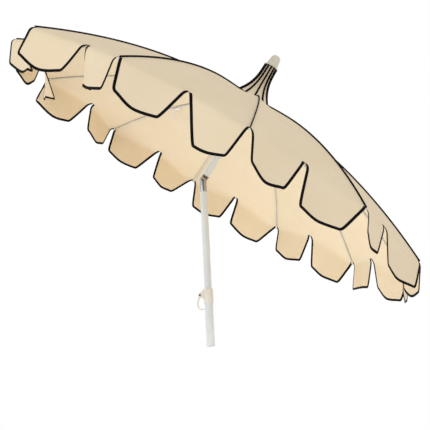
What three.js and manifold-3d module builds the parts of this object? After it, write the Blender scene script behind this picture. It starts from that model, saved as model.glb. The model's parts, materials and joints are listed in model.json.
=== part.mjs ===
// A garden parasol: twelve-rib canvas canopy on a tilting, telescoping steel pole.
// Millimetres, +Z up. The origin is the centre of the pole's flat bottom face, the pole
// stands along +Z, and the canopy leans towards +X about a hinge along +Y.

import * as THREE from 'three';
import { mergeVertices } from 'three/addons/utils/BufferGeometryUtils.js';
import Module from 'manifold-3d';

const wasm = await Module();
wasm.setup();

// ---- driving dimensions ----------------------------------------------------------------

const FACE_GAP = 0.3;             // clearance between faces that touch
const ROUND = 24;                 // sides of a full turn on the larger round parts
const SMALL_ROUND = 12;           // sides of a full turn on pins, eyes and bores

// canopy
const RIM_RADIUS = 900;
const RIB_COUNT = 12;
const CANOPY_RISE = 271;          // height of the dome over the plane of the rib tips
const CANOPY_BOW = 1.87;          // exponent of the dome's curve, 2 would be a parabola
const CONE_RISE = 16;             // extra rise where the cloth climbs to the neck
const CONE_RADIUS = 270;
const CLOTH = 1.6;                // thickness of the cloth, hems included
const CLOTH_INNER_RADIUS = 98;    // where the gores end under the neck
const CLOTH_ROWS = [0, 0.16, 0.34, 0.52, 0.7, 0.86, 1];  // stations from there to the rim
const PANEL_SHARES = [0.09, 0.22, 0.5, 0.78, 0.91];      // stations from a rib to mid gore
const HEM_DRAW = 58;              // how far the hem is drawn in at mid gore
const PETAL_DEPTH = 146;          // hanging scallop below the hem
const PETAL_SIDE_INSET = 40;      // how far a scallop's bottom corner stands in from its top
const PETAL_CORNER = 34;          // radius of that corner
const PETAL_BOW = 2.6;            // exponent of its rounding
const PETAL_ROWS = [0.5, 1];      // stations down a scallop

// neck and finial
const NECK_BASE_RADIUS = 88;
const NECK_TOP_RADIUS = 26;
const NECK_HEIGHT = 154;
const NECK_FLARE = 2;             // exponent of the concave flare
const CAP_FLANGE_RADIUS = 30.5;
const CAP_FLANGE = 4;
const CAP_HEIGHT = 56;
const CAP_WALL = 2;
const CAP_SHOULDER = 6;           // flange outside the dome
const CAP_TAPER = 5;
const CAP_ROUNDING = 14;          // height of the rounded top
const NECK_OVER_POLE = 10;
const SCREW_RADIUS = 3;
const SCREW_HEAD_RADIUS = 6;
const SCREW_HEAD = 5;
const SCREW_LENGTH = 22;
const DISC_THICKNESS = 3;

// poles
const PIVOT_HEIGHT = 645;         // tilt hinge above the foot
const TILT = THREE.MathUtils.degToRad(33.5);
const RIM_ABOVE_PIVOT = 94.5;
const POLE_RADIUS = 14;
const POLE_WALL = 1.2;
const LOWER_TUBE_WALL = 1.2;
const TELESCOPE_GAP = 0.8;        // between the inner pole and the lower tube's bore
const LOWER_TUBE_LENGTH = 180;
const POLE_TO_PIVOT = 45;         // bare metal fork between the white pole and the hinge
const INNER_POLE_BOTTOM = 120;
const PLUG_LENGTH = 30;
const FOOT_PLUG_HEIGHT = 18;
const FOOT_PLUG_WALL = 2.5;
const GUIDE_FLANGE = 8;
const GUIDE_WALL = 3;

// tilt joint
const FORK_TOP = 16;              // ears above the hinge
const FORK_SLOT = 12;
const FORK_SLOT_DEPTH = 20;       // below the hinge
const TONGUE_RADIUS = 12;
const FORK_CHAMFER = 3;
const FORK_STEM = 50;             // plug of the fork inside the inner pole
const TILT_BOLT_RADIUS = 3;
const BOLT_HEAD_RADIUS = 4.5;
const BOLT_HEAD = 2;
const UPPER_TUBE_START = 22;      // above the hinge
const TONGUE_PLUG_START = 40;
const PLUNGER_RADIUS = 4;
const PLUNGER_LENGTH = 36;
const PLUNGER_GAP = 0.5;          // under the tongue
const PLUNGER_TIP = 1.5;          // chamfer
const FORK_FLOOR = 4;             // under the plunger's bore
const SPRING_LENGTH = 34;
const TILT_SPRING_COILS = 8;
const SPRING_WIRE = 1;

// crown, runner, ribs and stretchers
const CROWN_ABOVE_RIM = 285;
const CROWN_PIVOT_OUT = 14;       // rib hinges, out from the pole's surface
const HUB_BORE_GAP = 0.5;
const HUB_WALL = 5.5;
const HUB_RIM = 5;                // flange outside the hinges
const HUB_REACH = 12;             // sleeve above and below the hinges
const RUNNER_ABOVE_RIM = 199;
const RUNNER_PIVOT_OUT = 10;      // stretcher hinges, out from the pole's surface
const RUNNER_SKIRT = 30;
const FLANGE = 10;
const RING_WIRE = 1;              // radius of the wire rings that carry ribs and stretchers
const RIB_WIDTH = 4.6;
const RIB_DEPTH = 6;
const RIB_EYE = 4;
const RIB_TIP_SETBACK = 7;
const CLOTH_OVER_RIB = 1.2;       // gap between the cloth and the rib under it
const CLIP_RADIUS_AT_REST = 175;  // stretcher pivot out along the rib
const CLIP_ABOVE_RIM = 249;
const CLIP_EYE = 5;
const STRETCHER_WIDTH = 4;
const STRETCHER_DEPTH = 5;
const STRETCHER_EYE = 3.4;
const FORK_PRONG = 1.6;
const FORK_PRONG_LENGTH = 50;
const FORK_BRIDGE = 4;            // solid part behind the prongs
const FORK_SIDE_GAP = 0.8;        // each side, between a prong and the rib it straddles
const RIVET_RADIUS = 2.6;
const RIVET_HEAD = 1.4;

// height lock
const COLLAR_WALL = 2.3;
const COLLAR_BORE_GAP = 0.4;
const COLLAR_CHAMFER = 2;
const COLLAR_BOTTOM = 163;
const COLLAR_TOP = 219;
const LOCK_PIVOT_OUT = 13.4;      // from the collar's surface to the lever's pin
const LOCK_PIVOT_Z = 195;
const LOCK_PIN_RADIUS = 2.5;
const LEVER_WIDTH = 12;
const LEVER_HUB = 7;
const LEVER_DROP = 57;            // from the pin to the bottom of the finger loop
const LEVER_OUT = 11.5;           // how far the loop stands out past the pin
const LEVER_STRIP = 4;
const LEVER_SHOULDER = 5;
const LEVER_NECK = 6.5;
const LEVER_BRIDGE = 8;
const LEVER_BEND = 18;
const EAR = 4;
const EAR_ROOT = 2.5;             // ears start this far outside the pole's surface
const EAR_MARGIN = 4;             // and pass the pin by this much
const EAR_ROOT_DROP = 21;
const EAR_DROP = 6;
const EAR_RISE = 5;
const WINDOW_DROP = 16;           // opening in the collar for the lever's nose
const WINDOW_RISE = 12;
const LEVER_SIDE_GAP = 0.5;
const LEVER_POLE_GAP = 3.2;       // loop clear of the lower tube
const PIN_HEAD = 1.5;
const PIN_HEAD_OVERHANG = 1.2;
const SPRING_ROOM = 3.3;          // recess in the lever's side for the spring
const SPRING_GAP = 0.5;
const PAD_GAP = 0.7;              // brake pad off the pole with the lever hanging
const PAD_DEPTH = 5;
const PAD_HEIGHT = 7;

// ---- values worked out from them ---------------------------------------------------------

const THROUGH = 40;               // half length of a cutter that passes right through
const RIM_Z = RIM_ABOVE_PIVOT;
const CROWN_Z = RIM_Z + CROWN_ABOVE_RIM;
const RUNNER_Z = RIM_Z + RUNNER_ABOVE_RIM;
const RIB_STEP = (2 * Math.PI) / RIB_COUNT;
const POLE_BORE = POLE_RADIUS - POLE_WALL;
const PLUG_RADIUS = POLE_BORE - FACE_GAP;
const LOWER_BORE = POLE_RADIUS + TELESCOPE_GAP;
const LOWER_TUBE_RADIUS = LOWER_BORE + LOWER_TUBE_WALL;
const COLLAR_RADIUS = LOWER_TUBE_RADIUS + FACE_GAP + COLLAR_WALL;
const LOCK_PIVOT_X = -COLLAR_RADIUS - LOCK_PIVOT_OUT;
const CROWN_PIVOT_RADIUS = POLE_RADIUS + CROWN_PIVOT_OUT;
const RUNNER_PIVOT_RADIUS = POLE_RADIUS + RUNNER_PIVOT_OUT;
const PLUNGER_TOP = -TONGUE_RADIUS - PLUNGER_GAP;
const RIB_DROP = CLOTH / 2 + CLOTH_OVER_RIB + RIB_DEPTH / 2;
const clothRadius = (row) => CLOTH_INNER_RADIUS + (RIM_RADIUS - CLOTH_INNER_RADIUS) * row;
const NECK_BASE_Z = RIM_Z + domeHeight(NECK_BASE_RADIUS) + 3;
const NECK_TOP_Z = NECK_BASE_Z + NECK_HEIGHT;
const CAP_Z = NECK_TOP_Z + CLOTH / 2 + FACE_GAP;
const UPPER_TUBE_TOP = NECK_TOP_Z - NECK_OVER_POLE;
const WIRE_HOLE = RING_WIRE + 1.5 * FACE_GAP;

// ---- colours ------------------------------------------------------------------------------

const CANVAS = { color: 0xe6d1b2, roughness: 0.9, metalness: 0 };
const WHITE_STEEL = { color: 0xe4e3de, roughness: 0.35, metalness: 0 };
const CHROME = { color: 0xc9ccd0, roughness: 0.12, metalness: 1 };
const ZINC = { color: 0xb4b6b8, roughness: 0.4, metalness: 1 };
const WHITE_PLASTIC = { color: 0xe3dfd2, roughness: 0.45, metalness: 0 };
const DARK_STEEL = { color: 0x2b2b2d, roughness: 0.4, metalness: 1 };
const RUBBER = { color: 0x3a3a3a, roughness: 0.8, metalness: 0 };

// ---- helpers ------------------------------------------------------------------------------

// Height of the cloth over the rib-tip plane along a rib, at radius r.
function domeHeight(r) {
  const dome = CANOPY_RISE * (1 - (r / RIM_RADIUS) ** CANOPY_BOW);
  const cone = CONE_RISE * Math.max(0, 1 - r / CONE_RADIUS) ** 2;
  return dome + cone;
}

function domeFall(r) {
  return (domeHeight(r - CLOTH) - domeHeight(r + CLOTH)) / (2 * CLOTH);
}

// Radius of the hem, from a rib at share 0 to mid gore at share 1.
function hemRadius(share) {
  return RIM_RADIUS - HEM_DRAW * Math.sin((share * Math.PI) / 2);
}

// A closed geometry as a solid that can be joined and cut.
function solid(geometry) {
  const plain = geometry.clone();
  plain.deleteAttribute('normal');
  plain.deleteAttribute('uv');
  const merged = mergeVertices(plain, 1e-4);
  const mesh = new wasm.Mesh({
    numProp: 3,
    vertProperties: new Float32Array(merged.attributes.position.array),
    triVerts: new Uint32Array(merged.index.array),
  });
  return new wasm.Manifold(mesh);
}

function geometryOf(manifold) {
  const mesh = manifold.getMesh();
  const geometry = new THREE.BufferGeometry();
  geometry.setAttribute('position', new THREE.BufferAttribute(mesh.vertProperties, 3));
  geometry.setIndex(new THREE.BufferAttribute(mesh.triVerts, 1));
  geometry.computeVertexNormals();
  return geometry;
}

function join(first, ...rest) {
  return rest.reduce((sum, piece) => sum.add(solid(piece)), solid(first));
}

function cut(body, ...tools) {
  return tools.reduce((left, tool) => left.subtract(solid(tool)), body);
}

// Solid of revolution about Z; points are [radius, height] up one side of the profile.
function turned(points, segments = ROUND) {
  const profile = points.map(([r, z]) => new THREE.Vector2(r, z));
  const geometry = new THREE.LatheGeometry(profile, segments);
  geometry.rotateX(Math.PI / 2);
  return geometry;
}

function ring(inner, outer, bottom, top, segments = ROUND) {
  return turned([[inner, bottom], [outer, bottom], [outer, top], [inner, top], [inner, bottom]],
    segments);
}

function disc(radius, bottom, top, segments = ROUND) {
  return turned([[0, bottom], [radius, bottom], [radius, top], [0, top]], segments);
}

// A box given by its lowest and highest corners.
function block(low, high) {
  const size = high.map((value, i) => value - low[i]);
  const middle = high.map((value, i) => (value + low[i]) / 2);
  return new THREE.BoxGeometry(...size).translate(...middle);
}

// A round bar along Y, from y0 to y1, through (x, z).
function crossBar(radius, y0, y1, x, z, segments = SMALL_ROUND) {
  const bar = new THREE.CylinderGeometry(radius, radius, y1 - y0, segments);
  return bar.translate(x, (y0 + y1) / 2, z);
}

// An outline drawn in the X-Z plane, as a plate of the given width across Y.
function plate(shape, width, curveSegments = 6) {
  const settings = { depth: width, bevelEnabled: false, curveSegments };
  const geometry = new THREE.ExtrudeGeometry(shape, settings);
  return geometry.rotateX(Math.PI / 2).translate(0, width / 2, 0);
}

function outline(points) {
  return new THREE.Shape(points.map(([x, z]) => new THREE.Vector2(x, z)));
}

function wireRing(radius, wire, z) {
  return new THREE.TorusGeometry(radius, wire, 6, 2 * RIB_COUNT).translate(0, 0, z);
}

function piece(name, shape, finish) {
  const geometry = shape.isBufferGeometry ? shape : geometryOf(shape);
  const mesh = new THREE.Mesh(geometry, new THREE.MeshStandardMaterial(finish));
  mesh.name = name;
  return mesh;
}

const numbered = (name, k) => `${name}_${String(k + 1).padStart(2, '0')}`;

// ---- lower pole and height lock -------------------------------------------------------------

function lowerTube() {
  return ring(LOWER_BORE, LOWER_TUBE_RADIUS, 0, LOWER_TUBE_LENGTH);
}

function footPlug() {
  const radius = LOWER_BORE - FACE_GAP;
  const inside = radius - FOOT_PLUG_WALL;
  return turned([[0, 0], [radius, 0], [radius, FOOT_PLUG_HEIGHT], [inside, FOOT_PLUG_HEIGHT],
    [inside, FOOT_PLUG_WALL], [0, FOOT_PLUG_WALL]]);
}

// The collar caps the lower tube and carries two ears for the lever's pin.
function heightCollar() {
  const shelf = LOWER_TUBE_LENGTH + FACE_GAP;
  const seat = LOWER_TUBE_RADIUS + FACE_GAP;
  const bore = POLE_RADIUS + COLLAR_BORE_GAP;
  const body = turned([[seat, COLLAR_BOTTOM], [COLLAR_RADIUS, COLLAR_BOTTOM],
    [COLLAR_RADIUS, COLLAR_TOP - COLLAR_CHAMFER], [COLLAR_RADIUS - COLLAR_CHAMFER, COLLAR_TOP],
    [bore, COLLAR_TOP], [bore, shelf], [seat, shelf], [seat, COLLAR_BOTTOM]]);
  const inside = LEVER_WIDTH / 2 + LEVER_SIDE_GAP;
  const root = -POLE_RADIUS - EAR_ROOT;
  const front = LOCK_PIVOT_X - EAR_MARGIN;
  const ears = [-1, 1].map((side) => plate(outline([
    [root, LOCK_PIVOT_Z - EAR_ROOT_DROP], [front, LOCK_PIVOT_Z - EAR_DROP],
    [front, LOCK_PIVOT_Z + EAR_RISE], [root, COLLAR_TOP - COLLAR_CHAMFER],
  ]), EAR).translate(0, side * (inside + EAR / 2), 0));
  const window = block([LOCK_PIVOT_X, -inside, LOCK_PIVOT_Z - WINDOW_DROP],
    [-POLE_RADIUS + EAR_ROOT, inside, LOCK_PIVOT_Z + WINDOW_RISE]);
  const pinHole = crossBar(LOCK_PIN_RADIUS + FACE_GAP, -THROUGH, THROUGH,
    LOCK_PIVOT_X, LOCK_PIVOT_Z);
  const poleBore = disc(bore, COLLAR_BOTTOM, COLLAR_TOP + 1);
  const tubeSeat = disc(seat, COLLAR_BOTTOM - 1, shelf);
  return cut(join(body, ...ears), window, pinHole, poleBore, tubeSeat);
}

function lockPin() {
  const reach = LEVER_WIDTH / 2 + LEVER_SIDE_GAP + EAR + FACE_GAP;
  const bar = (radius, low, high) => crossBar(radius, low, high, LOCK_PIVOT_X, LOCK_PIVOT_Z);
  const headRadius = LOCK_PIN_RADIUS + PIN_HEAD_OVERHANG;
  const shank = bar(LOCK_PIN_RADIUS, -reach - PIN_HEAD / 2, reach + PIN_HEAD / 2);
  const heads = [bar(headRadius, -reach - PIN_HEAD, -reach), bar(headRadius, reach, reach + PIN_HEAD)];
  return join(shank, ...heads);
}

function lockSpring() {
  const inner = LOCK_PIN_RADIUS + SPRING_GAP;
  const half = SPRING_ROOM / 2 - FACE_GAP;
  const spring = ring(inner, inner + 2 * SPRING_WIRE, -half, half, SMALL_ROUND);
  spring.rotateX(Math.PI / 2);
  return spring.translate(LOCK_PIVOT_X, (LEVER_WIDTH - SPRING_ROOM) / 2, LOCK_PIVOT_Z);
}

// The outline of the finger loop, the same shape for its outside and its hole; inset is the
// thickness of the strip between them.
function loopOutline(inset) {
  const out = LOCK_PIVOT_X - LEVER_OUT + inset;
  const near = -LOWER_TUBE_RADIUS - LEVER_POLE_GAP - (inset ? inset - 1 : 0);
  const bottom = LOCK_PIVOT_Z - LEVER_DROP + inset;
  const top = LOCK_PIVOT_Z - LEVER_SHOULDER - (inset ? LEVER_BRIDGE : 0);
  const shape = new THREE.Shape();
  shape.moveTo(near, bottom);
  shape.lineTo(near, top - LEVER_SHOULDER);
  shape.lineTo(LOCK_PIVOT_X + LEVER_NECK - inset / 2, top);
  shape.lineTo(LOCK_PIVOT_X - LEVER_NECK + inset / 2, top);
  shape.quadraticCurveTo(out, top - LEVER_BEND, out, bottom + LEVER_BEND);
  shape.quadraticCurveTo(out, bottom, near, bottom);
  return shape;
}

// A D-shaped finger loop hanging from the pin, with a nose towards the pole.
function lockLever() {
  const loop = loopOutline(0);
  loop.holes.push(loopOutline(LEVER_STRIP));
  const half = LEVER_WIDTH / 2;
  const hub = crossBar(LEVER_HUB, -half, half, LOCK_PIVOT_X, LOCK_PIVOT_Z);
  const noseTip = -POLE_RADIUS - PAD_GAP - PAD_DEPTH - FACE_GAP;
  const nose = block([LOCK_PIVOT_X, -half + 1, LOCK_PIVOT_Z - PAD_HEIGHT / 2],
    [noseTip, half - 1, LOCK_PIVOT_Z + PAD_HEIGHT / 2]);
  const pinHole = crossBar(LOCK_PIN_RADIUS + FACE_GAP, -THROUGH, THROUGH,
    LOCK_PIVOT_X, LOCK_PIVOT_Z);
  const springRoom = crossBar(LEVER_HUB + SPRING_GAP, half - SPRING_ROOM, LEVER_WIDTH,
    LOCK_PIVOT_X, LOCK_PIVOT_Z);
  return cut(join(plate(loop, LEVER_WIDTH), hub, nose), pinHole, springRoom);
}

function brakePad() {
  const face = -POLE_RADIUS - PAD_GAP;
  const half = PAD_HEIGHT / 2;
  return block([face - PAD_DEPTH, -LEVER_WIDTH / 2 + 1, LOCK_PIVOT_Z - half],
    [face, LEVER_WIDTH / 2 - 1, LOCK_PIVOT_Z + half]);
}

// ---- inner pole and tilt joint ----------------------------------------------------------------

function innerPole() {
  return ring(POLE_BORE, POLE_RADIUS, INNER_POLE_BOTTOM,
    PIVOT_HEIGHT - POLE_TO_PIVOT - FACE_GAP);
}

// A nylon plug with a flange that rides in the lower tube.
function innerPoleGuide() {
  const seat = INNER_POLE_BOTTOM - FACE_GAP;
  const running = LOWER_BORE - FACE_GAP;
  const inside = PLUG_RADIUS - GUIDE_WALL;
  return turned([[0, seat - GUIDE_FLANGE], [running, seat - GUIDE_FLANGE], [running, seat],
    [PLUG_RADIUS, seat], [PLUG_RADIUS, seat + PLUG_LENGTH], [inside, seat + PLUG_LENGTH],
    [inside, seat], [0, seat]]);
}

// Two ears around the tongue, on a stem that plugs into the inner pole.
function tiltFork() {
  const shoulder = -POLE_TO_PIVOT;
  const stem = shoulder - FORK_STEM;
  const body = turned([[0, stem], [PLUG_RADIUS, stem], [PLUG_RADIUS, shoulder],
    [POLE_RADIUS, shoulder], [POLE_RADIUS, FORK_TOP - FORK_CHAMFER],
    [POLE_RADIUS - FORK_CHAMFER, FORK_TOP], [0, FORK_TOP]]);
  const slot = block([-THROUGH, -FORK_SLOT / 2, -FORK_SLOT_DEPTH],
    [THROUGH, FORK_SLOT / 2, FORK_TOP + 1]);
  const boltHole = crossBar(TILT_BOLT_RADIUS + FACE_GAP, -THROUGH, THROUGH, 0, 0);
  const plungerBore = disc(PLUNGER_RADIUS + FACE_GAP, stem + FORK_FLOOR, -FORK_SLOT_DEPTH + 1,
    SMALL_ROUND);
  return cut(join(body), slot, boltHole, plungerBore);
}

function tiltBolt() {
  const head = POLE_RADIUS + FACE_GAP;
  const shank = crossBar(TILT_BOLT_RADIUS, -head - 1, head + 1, 0, 0);
  const left = crossBar(BOLT_HEAD_RADIUS, -head - BOLT_HEAD, -head, 0, 0);
  const right = crossBar(BOLT_HEAD_RADIUS, head, head + BOLT_HEAD, 0, 0);
  return join(shank, left, right);
}

function tiltPlunger() {
  const bottom = PLUNGER_TOP - PLUNGER_LENGTH;
  return turned([[0, bottom], [PLUNGER_RADIUS, bottom], [PLUNGER_RADIUS, PLUNGER_TOP - PLUNGER_TIP],
    [PLUNGER_RADIUS - PLUNGER_TIP, PLUNGER_TOP], [0, PLUNGER_TOP]], SMALL_ROUND);
}

function tiltSpring() {
  const top = PLUNGER_TOP - PLUNGER_LENGTH - FACE_GAP;
  const pitch = SPRING_LENGTH / TILT_SPRING_COILS;
  const middle = PLUNGER_RADIUS - 1;
  const points = [[middle - SPRING_WIRE, top]];
  for (let coil = 0; coil < TILT_SPRING_COILS; coil += 1) {
    points.push([middle + SPRING_WIRE, top - (coil + 0.5) * pitch]);
    points.push([middle + SPRING_WIRE / 2, top - (coil + 1) * pitch]);
  }
  points.push([middle - SPRING_WIRE, top - SPRING_LENGTH]);
  points.push([middle - SPRING_WIRE, top]);
  return turned(points.reverse(), SMALL_ROUND);
}

// A flat tongue in the fork, with a round plug inside the upper pole.
function tiltTongue() {
  const thickness = FORK_SLOT - 2 * FACE_GAP;
  const knuckle = crossBar(TONGUE_RADIUS, -thickness / 2, thickness / 2, 0, 0, ROUND);
  const strap = block([-TONGUE_RADIUS + 1, -thickness / 2, 0],
    [TONGUE_RADIUS - 1, thickness / 2, TONGUE_PLUG_START + 1]);
  const plugEnd = TONGUE_PLUG_START + PLUG_LENGTH;
  const plug = disc(PLUG_RADIUS, TONGUE_PLUG_START, plugEnd);
  const boltHole = crossBar(TILT_BOLT_RADIUS + FACE_GAP, -THROUGH, THROUGH, 0, 0);
  const trim = disc(PLUG_RADIUS, -TONGUE_RADIUS - 1, plugEnd + 1);
  return cut(join(knuckle, strap, plug).intersect(solid(trim)), boltHole);
}

function upperPole() {
  return ring(POLE_BORE, POLE_RADIUS, UPPER_TUBE_START, UPPER_TUBE_TOP);
}

// ---- crown and runner --------------------------------------------------------------------------

// A notched hub: a sleeve on the pole, a flange with one slot for each arm, and a wire groove.
function notchedHub({ z, below, pivotRadius, armWidth, eye }) {
  const bore = POLE_RADIUS + HUB_BORE_GAP;
  const radius = pivotRadius + HUB_RIM;
  const hub = bore + HUB_WALL;
  const half = FLANGE / 2;
  const body = turned([[bore, z - below], [hub - 1.5, z - below], [hub, z - below + 1.5],
    [hub, z - half], [radius, z - half], [radius, z + half], [hub, z + half],
    [hub, z + HUB_REACH], [bore, z + HUB_REACH], [bore, z - below]], 2 * RIB_COUNT);
  const slots = [];
  for (let k = 0; k < RIB_COUNT; k += 1) {
    const width = armWidth / 2 + FACE_GAP;
    const slot = block([pivotRadius - eye - FACE_GAP, -width, z - half - 1],
      [radius + 1, width, z + half + 1]);
    slots.push(slot.rotateZ((k + 0.5) * RIB_STEP));
  }
  return cut(join(body), ...slots, wireRing(pivotRadius, WIRE_HOLE, z));
}

function crown() {
  return notchedHub({
    z: CROWN_Z, below: HUB_REACH, pivotRadius: CROWN_PIVOT_RADIUS, armWidth: RIB_WIDTH,
    eye: RIB_EYE,
  });
}

function runner() {
  return notchedHub({
    z: RUNNER_Z, below: RUNNER_SKIRT, pivotRadius: RUNNER_PIVOT_RADIUS,
    armWidth: STRETCHER_WIDTH, eye: STRETCHER_EYE,
  });
}

// ---- neck and finial ----------------------------------------------------------------------------

function neckRadius(share) {
  return NECK_TOP_RADIUS + (NECK_BASE_RADIUS - NECK_TOP_RADIUS) * (1 - share) ** NECK_FLARE;
}

function neckSleeve() {
  const steps = 8;
  const outer = [];
  const inner = [];
  for (let i = 0; i <= steps; i += 1) {
    const share = i / steps;
    const z = NECK_BASE_Z + NECK_HEIGHT * share;
    outer.push([neckRadius(share) + CLOTH / 2, z]);
    inner.push([neckRadius(share) - CLOTH / 2, z]);
  }
  const profile = [...outer, ...inner.reverse()];
  return turned([...profile, profile[0]]);
}

function poleTopPlug() {
  return ring(SCREW_RADIUS + FACE_GAP, PLUG_RADIUS, UPPER_TUBE_TOP - PLUG_LENGTH, UPPER_TUBE_TOP);
}

// The disc that spreads the gathered cloth over the end of the pole.
function neckDisc() {
  const bottom = UPPER_TUBE_TOP + FACE_GAP;
  return ring(SCREW_RADIUS + FACE_GAP, NECK_TOP_RADIUS - CLOTH - 2, bottom,
    bottom + DISC_THICKNESS);
}

function finialScrew() {
  const seat = UPPER_TUBE_TOP + DISC_THICKNESS + 2 * FACE_GAP;
  const end = UPPER_TUBE_TOP - SCREW_LENGTH;
  return turned([[0, end], [SCREW_RADIUS, end], [SCREW_RADIUS, seat], [SCREW_HEAD_RADIUS, seat],
    [SCREW_HEAD_RADIUS, seat + SCREW_HEAD - 1], [SCREW_HEAD_RADIUS - 2, seat + SCREW_HEAD],
    [0, seat + SCREW_HEAD]], SMALL_ROUND);
}

// A hollow moulded cap: a flange that clamps the cloth and a tapered dome.
function finialCap() {
  const top = CAP_Z + CAP_HEIGHT;
  const waist = CAP_FLANGE_RADIUS - CAP_SHOULDER;
  const shoulder = waist - CAP_TAPER;
  const profile = new THREE.Path();
  profile.moveTo(waist - CAP_WALL, CAP_Z);
  profile.lineTo(CAP_FLANGE_RADIUS, CAP_Z);
  profile.lineTo(CAP_FLANGE_RADIUS, CAP_Z + CAP_FLANGE);
  profile.lineTo(waist, CAP_Z + CAP_FLANGE + 1);
  profile.lineTo(shoulder, top - CAP_ROUNDING);
  profile.quadraticCurveTo(shoulder, top, 0, top);
  profile.lineTo(0, top - CAP_WALL);
  profile.quadraticCurveTo(shoulder - CAP_WALL, top - CAP_WALL,
    shoulder - CAP_WALL, top - CAP_ROUNDING);
  profile.lineTo(waist - CAP_WALL, CAP_Z);
  return turned(profile.getPoints(5).map((point) => [point.x, point.y]));
}

// ---- ribs, stretchers and cloth -------------------------------------------------------------------

// Each arm is drawn in the plane of azimuth 0 and then turned to its place.
function ribLine() {
  const line = CLOTH_ROWS.map(clothRadius).map((r) => [r, RIM_Z + domeHeight(r) - RIB_DROP]);
  const [tip, last] = [line.pop(), line.at(-1)];
  const share = 1 - RIB_TIP_SETBACK / (tip[0] - last[0]);
  line.push([last[0] + (tip[0] - last[0]) * share, last[1] + (tip[1] - last[1]) * share]);
  return [[CROWN_PIVOT_RADIUS, CROWN_Z], ...line];
}

function rib() {
  const line = ribLine();
  const half = RIB_DEPTH / 2;
  const upper = line.map(([r, z]) => [r, z + half]);
  const lower = line.map(([r, z]) => [r, z - half]).reverse();
  const bar = plate(outline([...upper, ...lower]), RIB_WIDTH);
  const side = RIB_WIDTH / 2;
  const eye = crossBar(RIB_EYE, -side, side, CROWN_PIVOT_RADIUS, CROWN_Z);
  const clipZ = RIM_Z + CLIP_ABOVE_RIM;
  const clip = crossBar(CLIP_EYE, -side, side, CLIP_RADIUS_AT_REST, clipZ);
  const barZ = RIM_Z + domeHeight(CLIP_RADIUS_AT_REST) - RIB_DROP;
  const lug = block([CLIP_RADIUS_AT_REST - CLIP_EYE, -side, clipZ],
    [CLIP_RADIUS_AT_REST + CLIP_EYE, side, barZ]);
  const hole = crossBar(WIRE_HOLE, -THROUGH, THROUGH, CROWN_PIVOT_RADIUS, CROWN_Z, 8);
  return cut(join(bar, eye, clip, lug), hole);
}

// Drawn along +X from its runner eye and then raised to the rib; its fork straddles the rib.
function stretcher() {
  const dx = CLIP_RADIUS_AT_REST - RUNNER_PIVOT_RADIUS;
  const dz = CLIP_ABOVE_RIM - RUNNER_ABOVE_RIM;
  const length = Math.hypot(dx, dz);
  const half = STRETCHER_DEPTH / 2;
  const side = STRETCHER_WIDTH / 2;
  const inside = RIB_WIDTH / 2 + FORK_SIDE_GAP;
  const outside = inside + FORK_PRONG;
  const forkStart = length - FORK_PRONG_LENGTH;
  const shank = block([0, -side, -half], [forkStart, side, half]);
  const eye = crossBar(STRETCHER_EYE, -side, side, 0, 0, 8);
  const bridge = block([forkStart - FORK_BRIDGE, -outside, -half], [forkStart, outside, half]);
  const prongs = [-1, 1].map((face) => {
    const low = Math.min(face * inside, face * outside);
    const high = Math.max(face * inside, face * outside);
    const strip = block([forkStart - 1, low, -half], [length, high, half]);
    const end = crossBar(CLIP_EYE, low, high, length, 0, 10);
    const headLow = face > 0 ? high - 0.2 : low - RIVET_HEAD;
    const headHigh = face > 0 ? high + RIVET_HEAD : low + 0.2;
    return [strip, end, crossBar(RIVET_RADIUS, headLow, headHigh, length, 0, 8)];
  }).flat();
  const hole = crossBar(WIRE_HOLE, -THROUGH, THROUGH, 0, 0, 8);
  const arm = geometryOf(cut(join(shank, eye, bridge, ...prongs), hole));
  arm.rotateY(-Math.atan2(dz, dx));
  return arm.translate(RUNNER_PIVOT_RADIUS, 0, RUNNER_Z);
}

// Depth of the scallop hanging at distance x along the hem of a half gore, width wide.
function petalDepth(x, width) {
  const fromEdge = Math.min(x, width - x);
  const flat = Math.min(1, fromEdge / (PETAL_SIDE_INSET + PETAL_CORNER));
  const rounded = PETAL_DEPTH * Math.sqrt(1 - (1 - flat) ** PETAL_BOW);
  const slope = (2 * (PETAL_DEPTH - PETAL_CORNER)) / PETAL_SIDE_INSET;
  return Math.min(rounded, slope * fromEdge);
}

// A point at radius r on the straight line from a rib to the next; column 1 is mid gore.
function gorePoint(column, r, z) {
  const share = Math.abs(column) / 2;
  const gap = Math.abs(column) === 1 ? FACE_GAP : 0;
  const x = r * (1 - share) + r * Math.cos(RIB_STEP) * share;
  const y = r * Math.sin(RIB_STEP) * share;
  const across = Math.sign(column) * (y - gap * Math.cos(RIB_STEP / 2));
  return new THREE.Vector3(x + gap * Math.sin(RIB_STEP / 2), across, z);
}

function outward(column) {
  const turn = Math.sign(column) * (RIB_STEP / 2);
  return new THREE.Vector3(Math.cos(turn), Math.sin(turn), 0);
}

// One line of cloth from the neck to the hem, and on down the scallop that hangs there.
function clothColumn(column) {
  const out = outward(column);
  const hem = hemRadius(Math.abs(column));
  const dome = CLOTH_ROWS.map((row) => {
    const r = CLOTH_INNER_RADIUS + (hem - CLOTH_INNER_RADIUS) * row;
    const fall = domeFall(r) / Math.cos(RIB_STEP / 2);
    const push = new THREE.Vector3(out.x * fall, out.y * fall, 1).normalize();
    return { point: gorePoint(column, r, RIM_Z + domeHeight(r)), push };
  });
  dome.at(-1).push.add(out).normalize();
  const halfGore = RIM_RADIUS * Math.sin(RIB_STEP / 2);
  const depth = petalDepth(Math.abs(column) * halfGore, halfGore);
  const hangs = PETAL_ROWS.filter(() => depth > 0);
  const petal = hangs.map((row) => {
    const point = gorePoint(column, hem, RIM_Z + domeHeight(hem) - depth * row);
    return { point, push: out.clone() };
  });
  return [...dome, ...petal];
}

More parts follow.
